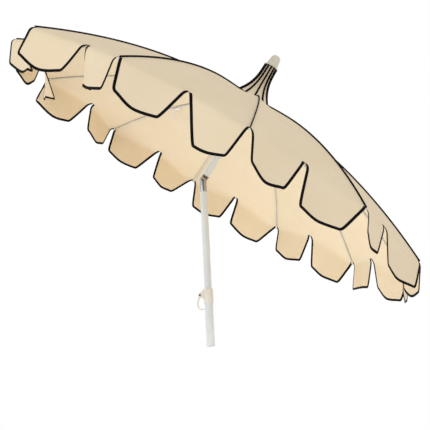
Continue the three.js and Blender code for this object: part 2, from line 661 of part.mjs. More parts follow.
// The cloth one rib carries: half a gore and one scallop on each side of it, as a thin solid.
function clothPanel() {
  const middle = [];
  const offset = [];
  const rows = CLOTH_ROWS.length + PETAL_ROWS.length;
  const left = PANEL_SHARES.map((share) => -share).reverse();
  const grid = [-1, ...left, 0, ...PANEL_SHARES, 1].map((column) => {
    const line = clothColumn(column).map(({ point, push }) => {
      middle.push(point);
      offset.push(push);
      return middle.length - 1;
    });
    return [...line, ...Array(rows - line.length).fill(line.at(-1))];
  });
  const faces = [];
  for (let c = 0; c < grid.length - 1; c += 1) {
    for (let i = 0; i < rows - 1; i += 1) {
      const [a, b] = [grid[c][i], grid[c][i + 1]];
      const [d, e] = [grid[c + 1][i + 1], grid[c + 1][i]];
      faces.push([a, b, d], [a, d, e]);
    }
  }
  return thickSheet(middle, offset, faces.filter((face) => new Set(face).size === 3));
}

// Gives a sheet its thickness: both faces and a wall round its edge.
function thickSheet(middle, offset, faces) {
  const count = middle.length;
  const positions = [];
  [1, -1].forEach((side) => {
    middle.forEach((point, i) => {
      const p = point.clone().addScaledVector(offset[i], (side * CLOTH) / 2);
      positions.push(p.x, p.y, p.z);
    });
  });
  const index = [];
  const edges = new Map();
  faces.forEach(([a, b, c]) => {
    index.push(a, b, c);
    index.push(a + count, c + count, b + count);
    [[a, b], [b, c], [c, a]].forEach(([p, q]) => edges.set(`${p},${q}`, [p, q]));
  });
  edges.forEach(([p, q]) => {
    if (!edges.has(`${q},${p}`)) {
      index.push(q, p, p + count);
      index.push(q, p + count, q + count);
    }
  });
  const geometry = new THREE.BufferGeometry();
  geometry.setAttribute('position', new THREE.Float32BufferAttribute(positions, 3));
  geometry.setIndex(index);
  geometry.computeVertexNormals();
  return geometry;
}

// ---- assembly -----------------------------------------------------------------------------------

const parasol = new THREE.Group();

parasol.add(
  piece('lower_tube', lowerTube(), WHITE_STEEL),
  piece('foot_plug', footPlug(), RUBBER),
  piece('height_collar', heightCollar(), WHITE_PLASTIC),
  piece('lock_pin', lockPin(), DARK_STEEL),
  piece('lock_spring', lockSpring(), ZINC),
  piece('lock_lever', lockLever(), WHITE_PLASTIC),
  piece('brake_pad', brakePad(), RUBBER),
  piece('inner_pole', innerPole(), WHITE_STEEL),
  piece('inner_pole_guide', innerPoleGuide(), WHITE_PLASTIC),
);

const tiltJoint = new THREE.Group();
tiltJoint.position.z = PIVOT_HEIGHT;
tiltJoint.add(
  piece('tilt_fork', tiltFork(), CHROME),
  piece('tilt_bolt', tiltBolt(), DARK_STEEL),
  piece('tilt_plunger', tiltPlunger(), ZINC),
  piece('tilt_spring', tiltSpring(), ZINC),
);
parasol.add(tiltJoint);

const canopy = new THREE.Group();
canopy.position.z = PIVOT_HEIGHT;
canopy.rotation.y = TILT;
canopy.add(
  piece('tilt_tongue', tiltTongue(), CHROME),
  piece('upper_pole', upperPole(), WHITE_STEEL),
  piece('crown', crown(), WHITE_PLASTIC),
  piece('crown_ring', wireRing(CROWN_PIVOT_RADIUS, RING_WIRE, CROWN_Z), ZINC),
  piece('runner', runner(), WHITE_PLASTIC),
  piece('runner_ring', wireRing(RUNNER_PIVOT_RADIUS, RING_WIRE, RUNNER_Z), ZINC),
  piece('neck_sleeve', neckSleeve(), CANVAS),
  piece('neck_disc', neckDisc(), WHITE_PLASTIC),
  piece('pole_top_plug', poleTopPlug(), WHITE_PLASTIC),
  piece('finial_screw', finialScrew(), ZINC),
  piece('finial_cap', finialCap(), WHITE_PLASTIC),
);

const ribShape = geometryOf(rib());
const stretcherShape = stretcher();
const clothShape = clothPanel();
for (let k = 0; k < RIB_COUNT; k += 1) {
  const arm = new THREE.Group();
  arm.rotation.z = (k + 0.5) * RIB_STEP;
  arm.add(
    piece(numbered('rib', k), ribShape.clone(), WHITE_STEEL),
    piece(numbered('stretcher', k), stretcherShape.clone(), ZINC),
    piece(numbered('canopy_panel', k), clothShape.clone(), CANVAS),
  );
  canopy.add(arm);
}
parasol.add(canopy);

export default parasol;
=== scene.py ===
"""Garden parasol: canvas canopy with black-bound scallops on a tilting white steel pole.

Metres, +Z up along the lower pole, the canopy leans towards +X.  Canopy pieces are
drawn in the canopy's own frame, with the tilt hinge at its origin and +Z along the
upper pole, and are then placed by the CANOPY matrix."""
import json
import math
import random

import bpy
from mathutils import Matrix, Vector


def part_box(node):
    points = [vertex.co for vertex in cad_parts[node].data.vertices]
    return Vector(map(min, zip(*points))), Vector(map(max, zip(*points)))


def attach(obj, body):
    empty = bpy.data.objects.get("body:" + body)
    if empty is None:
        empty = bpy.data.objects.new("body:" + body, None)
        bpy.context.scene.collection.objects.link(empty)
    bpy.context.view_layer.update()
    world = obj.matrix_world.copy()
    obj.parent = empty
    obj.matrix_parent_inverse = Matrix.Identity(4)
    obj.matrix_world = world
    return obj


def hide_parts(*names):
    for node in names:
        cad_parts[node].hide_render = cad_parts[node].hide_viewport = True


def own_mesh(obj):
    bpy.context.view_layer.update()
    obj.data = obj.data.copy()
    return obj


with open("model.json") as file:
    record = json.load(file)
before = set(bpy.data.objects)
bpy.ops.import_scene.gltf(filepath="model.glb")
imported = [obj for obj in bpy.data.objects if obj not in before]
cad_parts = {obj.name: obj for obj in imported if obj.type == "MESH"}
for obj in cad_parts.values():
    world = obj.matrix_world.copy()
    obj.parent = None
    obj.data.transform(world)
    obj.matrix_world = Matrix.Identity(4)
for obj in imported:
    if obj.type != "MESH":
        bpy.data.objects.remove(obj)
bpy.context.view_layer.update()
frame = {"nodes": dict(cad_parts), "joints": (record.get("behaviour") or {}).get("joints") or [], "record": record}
JOINTS = {joint["name"]: joint for joint in frame["joints"]}

# ---- frame ---------------------------------------------------------------------------------

HINGE = Vector(JOINTS["tilt"]["pos_m"])
AXIS = Vector(JOINTS["runner_slide"]["axis"])
SIDE = Vector(JOINTS["tilt"]["axis"])
LEAN = SIDE.cross(AXIS)
TURN = Matrix((LEAN, SIDE, AXIS)).transposed()
CANOPY = Matrix.Translation(HINGE) @ TURN.to_4x4()
TILT = math.acos(AXIS.z)

RIB_COUNT = 12
RIB_STEP = 2 * math.pi / RIB_COUNT
RIM_RADIUS = 0.9
RIM_Z = 0.0945                    # heights along the upper pole, from the tilt hinge
CROWN_Z = 0.3795
RUNNER_Z = 0.2935
DOME_RISE = 0.271                 # the ribs' curve: how high and how full it is
DOME_POWER = 1.87
PEAK_RISE = 0.016                 # extra rise of the cloth near the neck, and where it starts
PEAK_RADIUS = 0.27
POLE_RADIUS = 0.014
TUBE_RADIUS = 0.016
TUBE_WALL = 0.0012
CLOTH_START = 0.074               # where the gores tuck under the neck
CLOTH = 0.0009
HALF_GORE = RIM_RADIUS * math.sin(RIB_STEP / 2)
HEM_DRAW = 0.058                  # how far the hem is drawn in at mid gore
HEM_SAG = 0.015                   # how far the cloth hangs below a straight line, at the hem
GORE_SAG = 0.010                  # and half way up the gore
GORE_RIPPLE = 0.0022              # scales the small waves between a rib and mid gore
PETAL_DEPTH = 0.146
HEM_BEND = 0.035                  # length over which the cloth turns down at the hem
HEM_REACH = 0.19                  # how far down a scallop's hanging line is worked out
BINDING = 0.0102                  # width of the folded tape on each face
BINDING_THICK = 0.0026
BINDING_OVERHANG = 0.0008         # how far the tape's fold stands past the cloth's edge
PIPING = 0.0038                   # width of the standing seam along a rib
PIPING_HEIGHT = 0.0068            # how high it stands, and the neck's seams too
PIPING_SINK = 0.0008              # how deep the seams sit in the cloth
NECK_PIPING = 0.0072              # the gathered seams lie doubled on the neck


def azimuth(rib):
    """Direction of a rib round the canopy, counted from the lean."""
    return (rib + 0.5) * RIB_STEP


def numbered(name, k):
    return f"{name}_{k % RIB_COUNT + 1:02d}"


# ---- materials -----------------------------------------------------------------------------

def linear(code):
    """An sRGB hex colour as linear red, green, blue and alpha."""
    channels = [int(code[i:i + 2], 16) / 255 for i in (1, 3, 5)]
    values = [c / 12.92 if c <= 0.04045 else ((c + 0.055) / 1.055) ** 2.4 for c in channels]
    return (*values, 1.0)


def node(tree, kind, settings=(), **links):
    """Adds a node; settings are its properties or sockets, links are sockets to join."""
    made = tree.nodes.new(kind)
    for key, value in dict(settings).items():
        if isinstance(key, str) and hasattr(made, key):
            setattr(made, key, value)
        else:
            made.inputs[key].default_value = value
    for key, source in links.items():
        name = key.replace("_", " ")
        target = made.inputs[name] if name in made.inputs else made.inputs[int(key[1:])]
        tree.links.new(source, target)
    return made


def new_material(name):
    material = bpy.data.materials.new(name)
    material.use_nodes = True
    tree = material.node_tree
    shader = next(n for n in tree.nodes if n.type == "BSDF_PRINCIPLED")
    return material, tree, shader


def shade(tree, shader, name, socket):
    tree.links.new(socket, shader.inputs[name])


def mix_colours(tree, factor, low, high):
    """A colour between two hex codes, by a factor from 0 to 1."""
    ramp = node(tree, "ShaderNodeValToRGB", Fac=factor)
    ramp.color_ramp.elements[0].color = linear(low)
    ramp.color_ramp.elements[1].color = linear(high)
    return ramp.outputs["Color"]


def bump(tree, height, strength, distance):
    made = node(tree, "ShaderNodeBump", {"Strength": strength, "Distance": distance},
                Height=height)
    return made.outputs["Normal"]


def canvas():
    """Woven polyester canvas: matt, warm cream, with a plain weave and uneven yarn.

    The real yarn is 0.5 mm apart; it is drawn at 4 mm so that it can be seen."""
    material, tree, shader = new_material("canvas_weave")
    uv = node(tree, "ShaderNodeUVMap", {"uv_map": "cloth"}).outputs["UV"]
    yarns = []
    for direction in ("X", "Y"):
        wave = node(tree, "ShaderNodeTexWave",
                    {"bands_direction": direction, "Scale": 0.314 / 0.004, "Distortion": 0.6,
                     "Detail": 1.0, "Detail Scale": 2.0}, Vector=uv)
        yarns.append(wave.outputs["Fac"])
    weave = node(tree, "ShaderNodeMath", {"operation": "MULTIPLY"}, _0=yarns[0], _1=yarns[1])
    stretch = node(tree, "ShaderNodeMapping", {"Scale": (9.0, 70.0, 1.0)}, Vector=uv)
    slub = node(tree, "ShaderNodeTexNoise", {"Scale": 1.0, "Detail": 3.0, "Roughness": 0.6},
                Vector=stretch.outputs["Vector"])
    cloud = node(tree, "ShaderNodeTexNoise", {"Scale": 4.5, "Detail": 2.0}, Vector=uv)
    blend = node(tree, "ShaderNodeMath", {"operation": "MULTIPLY_ADD", 1: 0.55},
                 _0=slub.outputs["Fac"], _2=cloud.outputs["Fac"])
    tone = node(tree, "ShaderNodeMapRange",
                {"From Min": 0.45, "From Max": 1.15, "To Min": 0.0, "To Max": 1.0},
                Value=blend.outputs["Value"])
    shade(tree, shader, "Base Color",
          mix_colours(tree, tone.outputs["Result"], "#e7d4b4", "#eddcbf"))
    grain = node(tree, "ShaderNodeMath", {"operation": "MULTIPLY_ADD", 1: 0.5},
                 _0=slub.outputs["Fac"], _2=weave.outputs["Value"])
    shade(tree, shader, "Normal", bump(tree, grain.outputs["Value"], 0.35, 0.0006))
    shader.inputs["Roughness"].default_value = 0.88
    shader.inputs["Specular IOR Level"].default_value = 0.25
    return material


def binding_tape():
    """Black polyester binding tape: ribbed across its length, with a faint blue cast."""
    material, tree, shader = new_material("binding_tape")
    uv = node(tree, "ShaderNodeUVMap", {"uv_map": "cloth"}).outputs["UV"]
    ribs = node(tree, "ShaderNodeTexWave",
                {"bands_direction": "X", "Scale": 0.314 / 0.003, "Distortion": 0.3}, Vector=uv)
    wear = node(tree, "ShaderNodeTexNoise", {"Scale": 40.0, "Detail": 4.0}, Vector=uv)
    shade(tree, shader, "Base Color",
          mix_colours(tree, wear.outputs["Fac"], "#020308", "#07080f"))
    shade(tree, shader, "Normal", bump(tree, ribs.outputs["Fac"], 0.5, 0.0004))
    shader.inputs["Roughness"].default_value = 0.85
    shader.inputs["Specular IOR Level"].default_value = 0.15
    return material


def powder_coat(name, low, high):
    """White polyester powder coat on steel: semi-gloss with a fine orange peel."""
    material, tree, shader = new_material(name)
    place = node(tree, "ShaderNodeTexCoord").outputs["Object"]
    peel = node(tree, "ShaderNodeTexNoise", {"Scale": 420.0, "Detail": 1.0}, Vector=place)
    stretched = node(tree, "ShaderNodeMapping", {"Scale": (30.0, 30.0, 5.0)}, Vector=place)
    stain = node(tree, "ShaderNodeTexNoise", {"Scale": 1.0, "Detail": 5.0, "Roughness": 0.7},
                 Vector=stretched.outputs["Vector"])
    tone = node(tree, "ShaderNodeMapRange", {"From Min": 0.35, "From Max": 0.7},
                Value=stain.outputs["Fac"])
    shade(tree, shader, "Base Color", mix_colours(tree, tone.outputs["Result"], low, high))
    rough = node(tree, "ShaderNodeMapRange", {"To Min": 0.26, "To Max": 0.4},
                 Value=stain.outputs["Fac"])
    shade(tree, shader, "Roughness", rough.outputs["Result"])
    shade(tree, shader, "Normal", bump(tree, peel.outputs["Fac"], 0.12, 0.0003))
    return material


def chrome():
    """Bright nickel-chrome plate over a drawn tube: mirror-like with fine draw lines."""
    material, tree, shader = new_material("chrome_plate")
    place = node(tree, "ShaderNodeTexCoord").outputs["Object"]
    drawn = node(tree, "ShaderNodeMapping", {"Scale": (900.0, 900.0, 12.0)}, Vector=place)
    lines = node(tree, "ShaderNodeTexNoise", {"Scale": 1.0, "Detail": 3.0},
                 Vector=drawn.outputs["Vector"])
    haze = node(tree, "ShaderNodeTexNoise", {"Scale": 60.0, "Detail": 4.0}, Vector=place)
    shade(tree, shader, "Base Color",
          mix_colours(tree, haze.outputs["Fac"], "#94969a", "#c9cbcd"))
    rough = node(tree, "ShaderNodeMapRange", {"To Min": 0.05, "To Max": 0.24},
                 Value=haze.outputs["Fac"])
    shade(tree, shader, "Roughness", rough.outputs["Result"])
    shade(tree, shader, "Normal", bump(tree, lines.outputs["Fac"], 0.08, 0.0002))
    shader.inputs["Metallic"].default_value = 1.0
    return material


def plated_steel(name, low, high, roughness):
    """Plated or blackened steel: a dull metal with a blotchy finish."""
    material, tree, shader = new_material(name)
    place = node(tree, "ShaderNodeTexCoord").outputs["Object"]
    blotch = node(tree, "ShaderNodeTexNoise", {"Scale": 220.0, "Detail": 5.0}, Vector=place)
    shade(tree, shader, "Base Color", mix_colours(tree, blotch.outputs["Fac"], low, high))
    shade(tree, shader, "Normal", bump(tree, blotch.outputs["Fac"], 0.1, 0.0002))
    shader.inputs["Metallic"].default_value = 1.0
    shader.inputs["Roughness"].default_value = roughness
    return material


def moulded_plastic(name, low, high, roughness):
    """Moulded polypropylene: a waxy surface with cloudy flow marks and fine pores."""
    material, tree, shader = new_material(name)
    place = node(tree, "ShaderNodeTexCoord").outputs["Object"]
    flow = node(tree, "ShaderNodeTexNoise", {"Scale": 55.0, "Detail": 4.0, "Distortion": 0.8},
                Vector=place)
    pores = node(tree, "ShaderNodeTexNoise", {"Scale": 900.0, "Detail": 1.0}, Vector=place)
    shade(tree, shader, "Base Color", mix_colours(tree, flow.outputs["Fac"], low, high))
    shade(tree, shader, "Normal", bump(tree, pores.outputs["Fac"], 0.15, 0.0002))
    shader.inputs["Roughness"].default_value = roughness
    return material


def moulded_rubber():
    """Black moulded rubber: matt, with a dusty bloom."""
    material, tree, shader = new_material("moulded_rubber")
    place = node(tree, "ShaderNodeTexCoord").outputs["Object"]
    bloom = node(tree, "ShaderNodeTexNoise", {"Scale": 120.0, "Detail": 5.0}, Vector=place)
    shade(tree, shader, "Base Color",
          mix_colours(tree, bloom.outputs["Fac"], "#1b1b1c", "#333334"))
    shade(tree, shader, "Normal", bump(tree, bloom.outputs["Fac"], 0.2, 0.0003))
    shader.inputs["Roughness"].default_value = 0.75
    return material


def studio_paper():
    """Seamless white paper under the parasol, with a faint tooth."""
    material, tree, shader = new_material("studio_paper")
    place = node(tree, "ShaderNodeTexCoord").outputs["Object"]
    tooth = node(tree, "ShaderNodeTexNoise", {"Scale": 25.0, "Detail": 4.0}, Vector=place)
    shade(tree, shader, "Base Color",
          mix_colours(tree, tooth.outputs["Fac"], "#f3f3f1", "#fafaf9"))
    shader.inputs["Roughness"].default_value = 0.95
    return material


FINISH = {
    "canvas": canvas(),
    "binding": binding_tape(),
    "white_steel": powder_coat("white_powder_coat", "#d3d9da", "#e3e8e9"),
    "rib_steel": powder_coat("rib_powder_coat", "#c9c8c3", "#dddcd8"),
    "chrome_steel": chrome(),
    "worn_zinc": plated_steel("worn_zinc_plate", "#6f685e", "#8d8578", 0.38),
    "white_tape": powder_coat("white_cotton_tape", "#e9e7e2", "#f4f3ef"),
    "dark_steel": plated_steel("black_oxide_steel", "#4a4849", "#656364", 0.4),
    "zinc_wire": plated_steel("zinc_plate", "#96989b", "#bcbec0", 0.35),
    "white_plastic": moulded_plastic("white_polypropylene", "#dcd8cc", "#eae7de", 0.42),
    "cap_plastic": moulded_plastic("milky_polypropylene", "#c5bfae", "#d9d4c5", 0.3),
    "black_rubber": moulded_rubber(),
}

# ---- modelling helpers ---------------------------------------------------------------------

def deselect_all():
    bpy.ops.object.select_all(action="DESELECT")


def make_active(obj):
    deselect_all()
    obj.select_set(True)
    bpy.context.view_layer.objects.active = obj


def apply_modifiers(obj):
    make_active(obj)
    for modifier in list(obj.modifiers):
        bpy.ops.object.modifier_apply(modifier=modifier.name)


def bevel(obj, width, segments=3, angle=math.radians(30)):
    """Rounds the sharp edges of a finished shape."""
    modifier = obj.modifiers.new("edge", "BEVEL")
    modifier.width = width
    modifier.segments = segments
    modifier.limit_method = "ANGLE"
    modifier.angle_limit = angle
    apply_modifiers(obj)


def finish(obj, name, body, material, stands_for=(), place=None, smooth=35):
    """Names a piece, settles it at the origin, shades it and joins it to its body."""
    obj.name = name
    obj.data.name = name
    make_active(obj)
    bpy.ops.object.transform_apply(location=True, rotation=True, scale=True)
    if place is not None:
        obj.data.transform(place)
    obj.data.materials.clear()
    obj.data.materials.append(material)
    bpy.ops.object.shade_smooth_by_angle(angle=math.radians(smooth))
    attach(obj, body)
    if stands_for:
        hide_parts(*stands_for)
    deselect_all()
    return obj


def turned(profile, steps=64):
    """Spins a profile of (radius, height) points about Z, as a lathe does."""
    deselect_all()
    bpy.ops.mesh.primitive_plane_add(size=0.001)
    obj = bpy.context.object
    bpy.ops.object.mode_set(mode="EDIT")
    bpy.ops.mesh.select_all(action="SELECT")
    bpy.ops.mesh.merge(type="CENTER")
    start = profile[0]
    bpy.ops.transform.translate(value=(start[0], 0, start[1]))
    for (r0, z0), (r1, z1) in zip(profile, profile[1:]):
        bpy.ops.mesh.extrude_region_move(
            TRANSFORM_OT_translate={"value": (r1 - r0, 0, z1 - z0)})
    bpy.ops.mesh.select_all(action="SELECT")
    bpy.ops.mesh.spin(steps=steps, angle=2 * math.pi, center=(0, 0, 0), axis=(0, 0, 1))
    bpy.ops.mesh.select_all(action="SELECT")
    bpy.ops.mesh.remove_doubles(threshold=1e-6)
    bpy.ops.mesh.normals_make_consistent(inside=False)
    bpy.ops.object.mode_set(mode="OBJECT")
    return obj


def tube(inner, outer, bottom, top, round_end=0.0006):
    """A tube with a small radius on its cut ends."""
    e = round_end
    return turned([(inner, bottom), (outer - e, bottom), (outer, bottom + e),
                   (outer, top - e), (outer - e, top), (inner, top), (inner, bottom)])


def rod_along_y(radius, low, high, x, z, vertices=32):
    deselect_all()
    bpy.ops.mesh.primitive_cylinder_add(
        vertices=vertices, radius=radius, depth=high - low,
        location=(x, (low + high) / 2, z), rotation=(math.pi / 2, 0, 0))
    obj = bpy.context.object
    bpy.ops.object.transform_apply(location=True, rotation=True, scale=True)
    return obj


def carve(obj, tool):
    """Cuts a tool shape out of a piece and throws the tool away."""
    modifier = obj.modifiers.new("cut", "BOOLEAN")
    modifier.operation = "DIFFERENCE"
    modifier.solver = "EXACT"
    modifier.object = tool
    apply_modifiers(obj)
    bpy.data.objects.remove(tool)


def weld(obj, *others):
    """Unites overlapping shapes into one skin."""
    for other in others:
        modifier = obj.modifiers.new("weld", "BOOLEAN")
        modifier.operation = "UNION"
        modifier.solver = "EXACT"
        modifier.object = other
        apply_modifiers(obj)
        bpy.data.objects.remove(other)


def brick(low, high):
    deselect_all()
    middle = [(a + b) / 2 for a, b in zip(low, high)]
    bpy.ops.mesh.primitive_cube_add(size=1, location=middle)
    obj = bpy.context.object
    obj.scale = [b - a for a, b in zip(low, high)]
    bpy.ops.object.transform_apply(location=True, rotation=True, scale=True)
    return obj


def thicken(obj, thickness):
    """Gives a sheet its thickness, half on each side."""
    modifier = obj.modifiers.new("cloth", "SOLIDIFY")
    modifier.thickness = thickness
    modifier.offset = 0.0
    apply_modifiers(obj)


def mesh_object(name, points, faces, uvs):
    """A mesh piece from points and faces, with cloth coordinates in metres."""
    data = bpy.data.meshes.new(name)
    data.from_pydata([tuple(p) for p in points], [], faces)
    layer = data.uv_layers.new(name="cloth")
    for loop in data.loops:
        layer.data[loop.index].uv = uvs[loop.vertex_index]
    data.validate()
    obj = bpy.data.objects.new(name, data)
    bpy.context.scene.collection.objects.link(obj)
    return obj


# ---- canopy surface ------------------------------------------------------------------------

def dome_height(r):
    """Height of a rib's cloth line above the plane of the rib tips."""
    dome = DOME_RISE * (1 - (r / RIM_RADIUS) ** DOME_POWER)
    cone = PEAK_RISE * max(0.0, 1 - r / PEAK_RADIUS) ** 2
    return dome + cone


RIM_SLOPE = math.atan2((dome_height(RIM_RADIUS - 0.01) - dome_height(RIM_RADIUS)),
                       0.01 * math.cos(RIB_STEP / 2))


def hem_radius(share):
    """Radius of the hem: full at the rib tips, drawn in between them."""
    return RIM_RADIUS - HEM_DRAW * math.sin(min(1.0, max(0.0, share)) * math.pi / 2)


def gore_point(rib, side, share, r):
    """The cloth at radius r; share runs from 0 on the rib to 1 at mid gore."""
    here = azimuth(rib)
    there = here + side * RIB_STEP
    t = 0.5 * share
    a = Vector((math.cos(here), math.sin(here), 0)) * r
    b = Vector((math.cos(there), math.sin(there), 0)) * r
    out = r / RIM_RADIUS
    sag = (GORE_SAG * math.sin(math.pi * out) ** 2 + HEM_SAG * out ** 4) * 4 * t * (1 - t)
    wave = math.sin(5 * math.pi * share + 2.1 * rib + side)
    ripple = GORE_RIPPLE * out ** 3 * wave * share
    point = a.lerp(b, t) + Vector((0, 0, RIM_Z + dome_height(r)))
    return point + Vector((0, 0, -sag + ripple * (1 - share)))


# Each scallop's own shape, counted from its rib: where its two lower corners are as shares
# of its width and depth, how deep its middle is, degrees of extra flare, metres of curl at
# its two edges, and the share of its bottom that has rolled under at mid gore.
NOTCH = (0.972, 0.10)             # where two scallops part at mid gore, in the same shares
PLAIN_PETAL = ((0.17, 0.80), 1.00, (0.86, 0.87), 0, 0.004, 0)
PETALS = {
    (7, 1): ((-0.03, 0.80), 1.00, (0.72, 0.84), 6, 0.006, 0),
    (8, -1): ((0.08, 0.84), 0.97, (0.80, 0.95), 0, 0.000, 0.40),
    (8, 1): ((0.15, 0.79), 0.99, (0.84, 0.91), 7, 0.004, 0),
    (9, -1): ((0.05, 0.86), 1.00, (0.54, 1.06), -2, 0.002, 0),
    (9, 1): ((0.19, 0.72), 0.97, (0.85, 0.88), 7, 0.006, 0),
    (10, -1): ((0.18, 0.88), 1.06, (0.87, 1.03), 2, 0.002, 0),
    (10, 1): ((0.22, 0.52), 0.78, (0.95, 0.78), -6, 0.016, 0),
    (11, -1): ((0.10, 0.82), 1.00, (0.90, 0.93), 4, 0.004, 0),
    (4, -1): ((0.08, 0.82), 1.00, (0.72, 0.98), 0, 0.002, 0),
    (3, 1): ((0.30, 0.88), 1.00, (0.88, 0.92), 0, -0.004, 0),
    (3, -1): ((0.24, 0.90), 1.00, (0.92, 0.88), 0, 0.004, 0),
    (2, 1): ((0.18, 0.86), 0.98, (0.85, 0.88), 0, 0.000, 0),
    (2, -1): ((0.20, 0.82), 1.00, (0.96, 0.90), 0, 0.006, 0),
    (1, 1): ((0.13, 0.88), 0.99, (0.78, 0.92), 0, 0.003, 0),
    (1, -1): ((0.10, 0.88), 0.95, (0.97, 0.88), 0, 0.000, 0),
    (0, 1): ((0.14, 0.80), 0.99, (0.84, 0.80), 4, 0.008, 0.20),
    (5, -1): ((-0.03, 0.86), 1.06, (0.70, 0.96), 12, 0.006, 0),
    (5, 1): ((0.12, 0.80), 0.96, (0.84, 0.86), -4, 0.012, 0.45),
    (6, -1): ((0.16, 0.84), 1.02, (0.78, 0.80), 0, 0.006, 0),
    (6, 1): ((0.10, 0.78), 0.96, (0.90, 0.90), 6, 0.004, 0.25),
}


class Petal:
    """One scallop: half a gore wide, turning down at the hem and hanging from it."""

    def __init__(self, rib, side):
        self.rib = rib
        self.side = side
        dice = random.Random(4100 + rib * 2 + (side > 0))
        shape = PETALS.get((rib, side), PLAIN_PETAL)
        self.near, self.middle, self.far, extra, self.curl, self.roll = shape
        gore = azimuth(rib) + side * RIB_STEP / 2
        middle = azimuth(rib) + side * RIB_STEP / 4
        self.out = Vector((math.cos(gore), math.sin(gore), 0))
        hang = math.atan2(math.sin(TILT) * math.cos(middle), math.cos(TILT))
        self.flare = 0.8 * hang + math.radians(extra) + dice.uniform(-0.05, 0.05)
        self.twist = dice.uniform(-0.010, 0.010)
        self.wave = dice.uniform(0.003, 0.006)
        self.phase = dice.uniform(0, 2 * math.pi)
        start = gore_point(rib, side, 0.0, RIM_RADIUS)
        end = gore_point(rib, side, 1.0, hem_radius(1.0))
        along = end - start
        across = Vector((-math.sin(gore), math.cos(gore), 0)) * side
        self.across = -across if across.dot(along) < 0 else across
        self.path = self.hanging_path()

    def hanging_path(self):
        """(outward, down) along the cloth: it leaves along the gore, then hangs."""
        steps = 48
        line = [(0.0, 0.0)]
        for i in range(steps):
            d = (i + 0.5) / steps * HEM_REACH
            ease = min(1.0, d / HEM_BEND)
            ease = ease * ease * (3 - 2 * ease)
            angle = RIM_SLOPE + (math.pi / 2 - self.flare - RIM_SLOPE) * ease
            x, z = line[-1]
            step = HEM_REACH / steps
            line.append((x + math.cos(angle) * step, z + math.sin(angle) * step))
        return line

    def at(self, s, d):
        """The cloth at distance s along the hem from the rib and d down the scallop."""
        share = min(1.0, max(0.0, s / HALF_GORE))
        point = gore_point(self.rib, self.side, share, hem_radius(share))
        point = point + self.across * (s - share * HALF_GORE)
        deep = max(0.0, d) / PETAL_DEPTH
        at = max(0.0, d) / HEM_REACH * (len(self.path) - 1)
        i = min(len(self.path) - 2, int(at))
        (x0, z0), (x1, z1) = self.path[i], self.path[i + 1]
        out = x0 + (x1 - x0) * (at - i)
        down = z0 + (z1 - z0) * (at - i)
        offset = 2 * share - 1
        out += self.curl * offset ** 2 * deep ** 1.5
        out += self.twist * offset * deep ** 1.3
        out += self.wave * math.sin(6.5 * share + self.phase) * min(1.0, deep)
        fold = self.fold_under(s, deep)
        return point + self.out * (out + fold.y) + self.across * fold.x - Vector((0, 0, down))

    def fold_under(self, s, deep):
        """Where the far edge has rolled under: moves it back and inwards."""
        line = HALF_GORE * (1 - self.roll * min(1.0, deep))
        beyond = s - line
        if self.roll == 0 or beyond <= 0:
            return Vector((0, 0))
        bend = 0.010
        most = math.radians(125)
        angle = min(most, beyond / bend)
        x = bend * math.sin(angle)
        y = -bend * (1 - math.cos(angle))
        rest = max(0.0, beyond - bend * most)
        x += rest * math.cos(most)
        y -= rest * math.sin(most)
        return Vector((x - beyond, y))

    def outline(self, count=56):
        """(s, d) round the scallop from the rib tip to the notch at mid gore."""
        near, far = Vector(self.near), Vector(self.far)
        middle = Vector(((near.x + far.x) / 2, self.middle + 0.005))
        tip, notch = Vector((0.0, 0.0)), Vector(NOTCH)
        knots = [tip, tip.lerp(near, 0.45), *rounded_corner(tip, near, middle), middle,
                 *rounded_corner(middle, far, notch), far.lerp(notch, 0.6), notch,
                 Vector((1.0, 0.0))]
        return smooth_line([(k.x * HALF_GORE, k.y * PETAL_DEPTH) for k in knots], count)


def slope_steps(low, high, steps=200):
    """Middle radius and flat length of each step down the gore from low to high."""
    for i in range(steps):
        step = (high - low) / steps
        r = low + (i + 0.5) * step
        fall = dome_height(r - step / 2) - dome_height(r + step / 2)
        yield r, math.hypot(step * math.cos(RIB_STEP / 2), fall)


def panel_pattern(petals):
    """Flat length and area of the cut cloth: two half gores and the two scallops."""
    gores = 0.0
    for r, length in slope_steps(CLOTH_START, RIM_RADIUS):
        drawn = min(1.0, max(0.0, (RIM_RADIUS - r) / HEM_DRAW))
        share = math.asin(drawn) * 2 / math.pi
        gores += 2 * r * math.sin(RIB_STEP / 2) * share * length
    scallops, deepest = 0.0, 0.0
    for petal in petals.values():
        edge = petal.outline(240)
        closed = zip(edge, edge[1:] + edge[:1])
        scallops += abs(sum(s0 * d1 - s1 * d0 for (s0, d0), (s1, d1) in closed)) / 2
        deepest = max(deepest, max(d for s, d in edge))
    down = sum(length for r, length in slope_steps(CLOTH_START, hem_radius(0.5)))
    return down + deepest, gores + scallops


def rounded_corner(before, corner, after):
    """Three points that take a line round a corner instead of through it."""
    first, last = corner.lerp(before, 0.17), corner.lerp(after, 0.22)
    return first, ((first + last) / 2).lerp(corner, 0.62), last


def smooth_line(knots, count):
    """Catmull-Rom curve through 2-D knots, at even steps along its length."""
    points = [Vector((*k, 0)) for k in knots]
    ends = [points[0] * 2 - points[1], *points, points[-1] * 2 - points[-2]]
    fine = []
    for p0, p1, p2, p3 in zip(ends, ends[1:], ends[2:], ends[3:]):
        for i in range(12):
            t = i / 12
            fine.append(0.5 * ((2 * p1) + (p2 - p0) * t + (2 * p0 - 5 * p1 + 4 * p2 - p3) * t * t
                               + (3 * p1 - p0 - 3 * p2 + p3) * t ** 3))
    fine.append(points[-1])
    lengths = [0.0]
    for a, b in zip(fine, fine[1:]):
        lengths.append(lengths[-1] + (b - a).length)
    line = []
    j = 0
    for i in range(count + 1):
        want = lengths[-1] * i / count
        while j < len(fine) - 2 and lengths[j + 1] < want:
            j += 1
        span = max(1e-12, lengths[j + 1] - lengths[j])
        point = fine[j].lerp(fine[j + 1], (want - lengths[j]) / span)
        line.append((point.x, point.y))
    return line


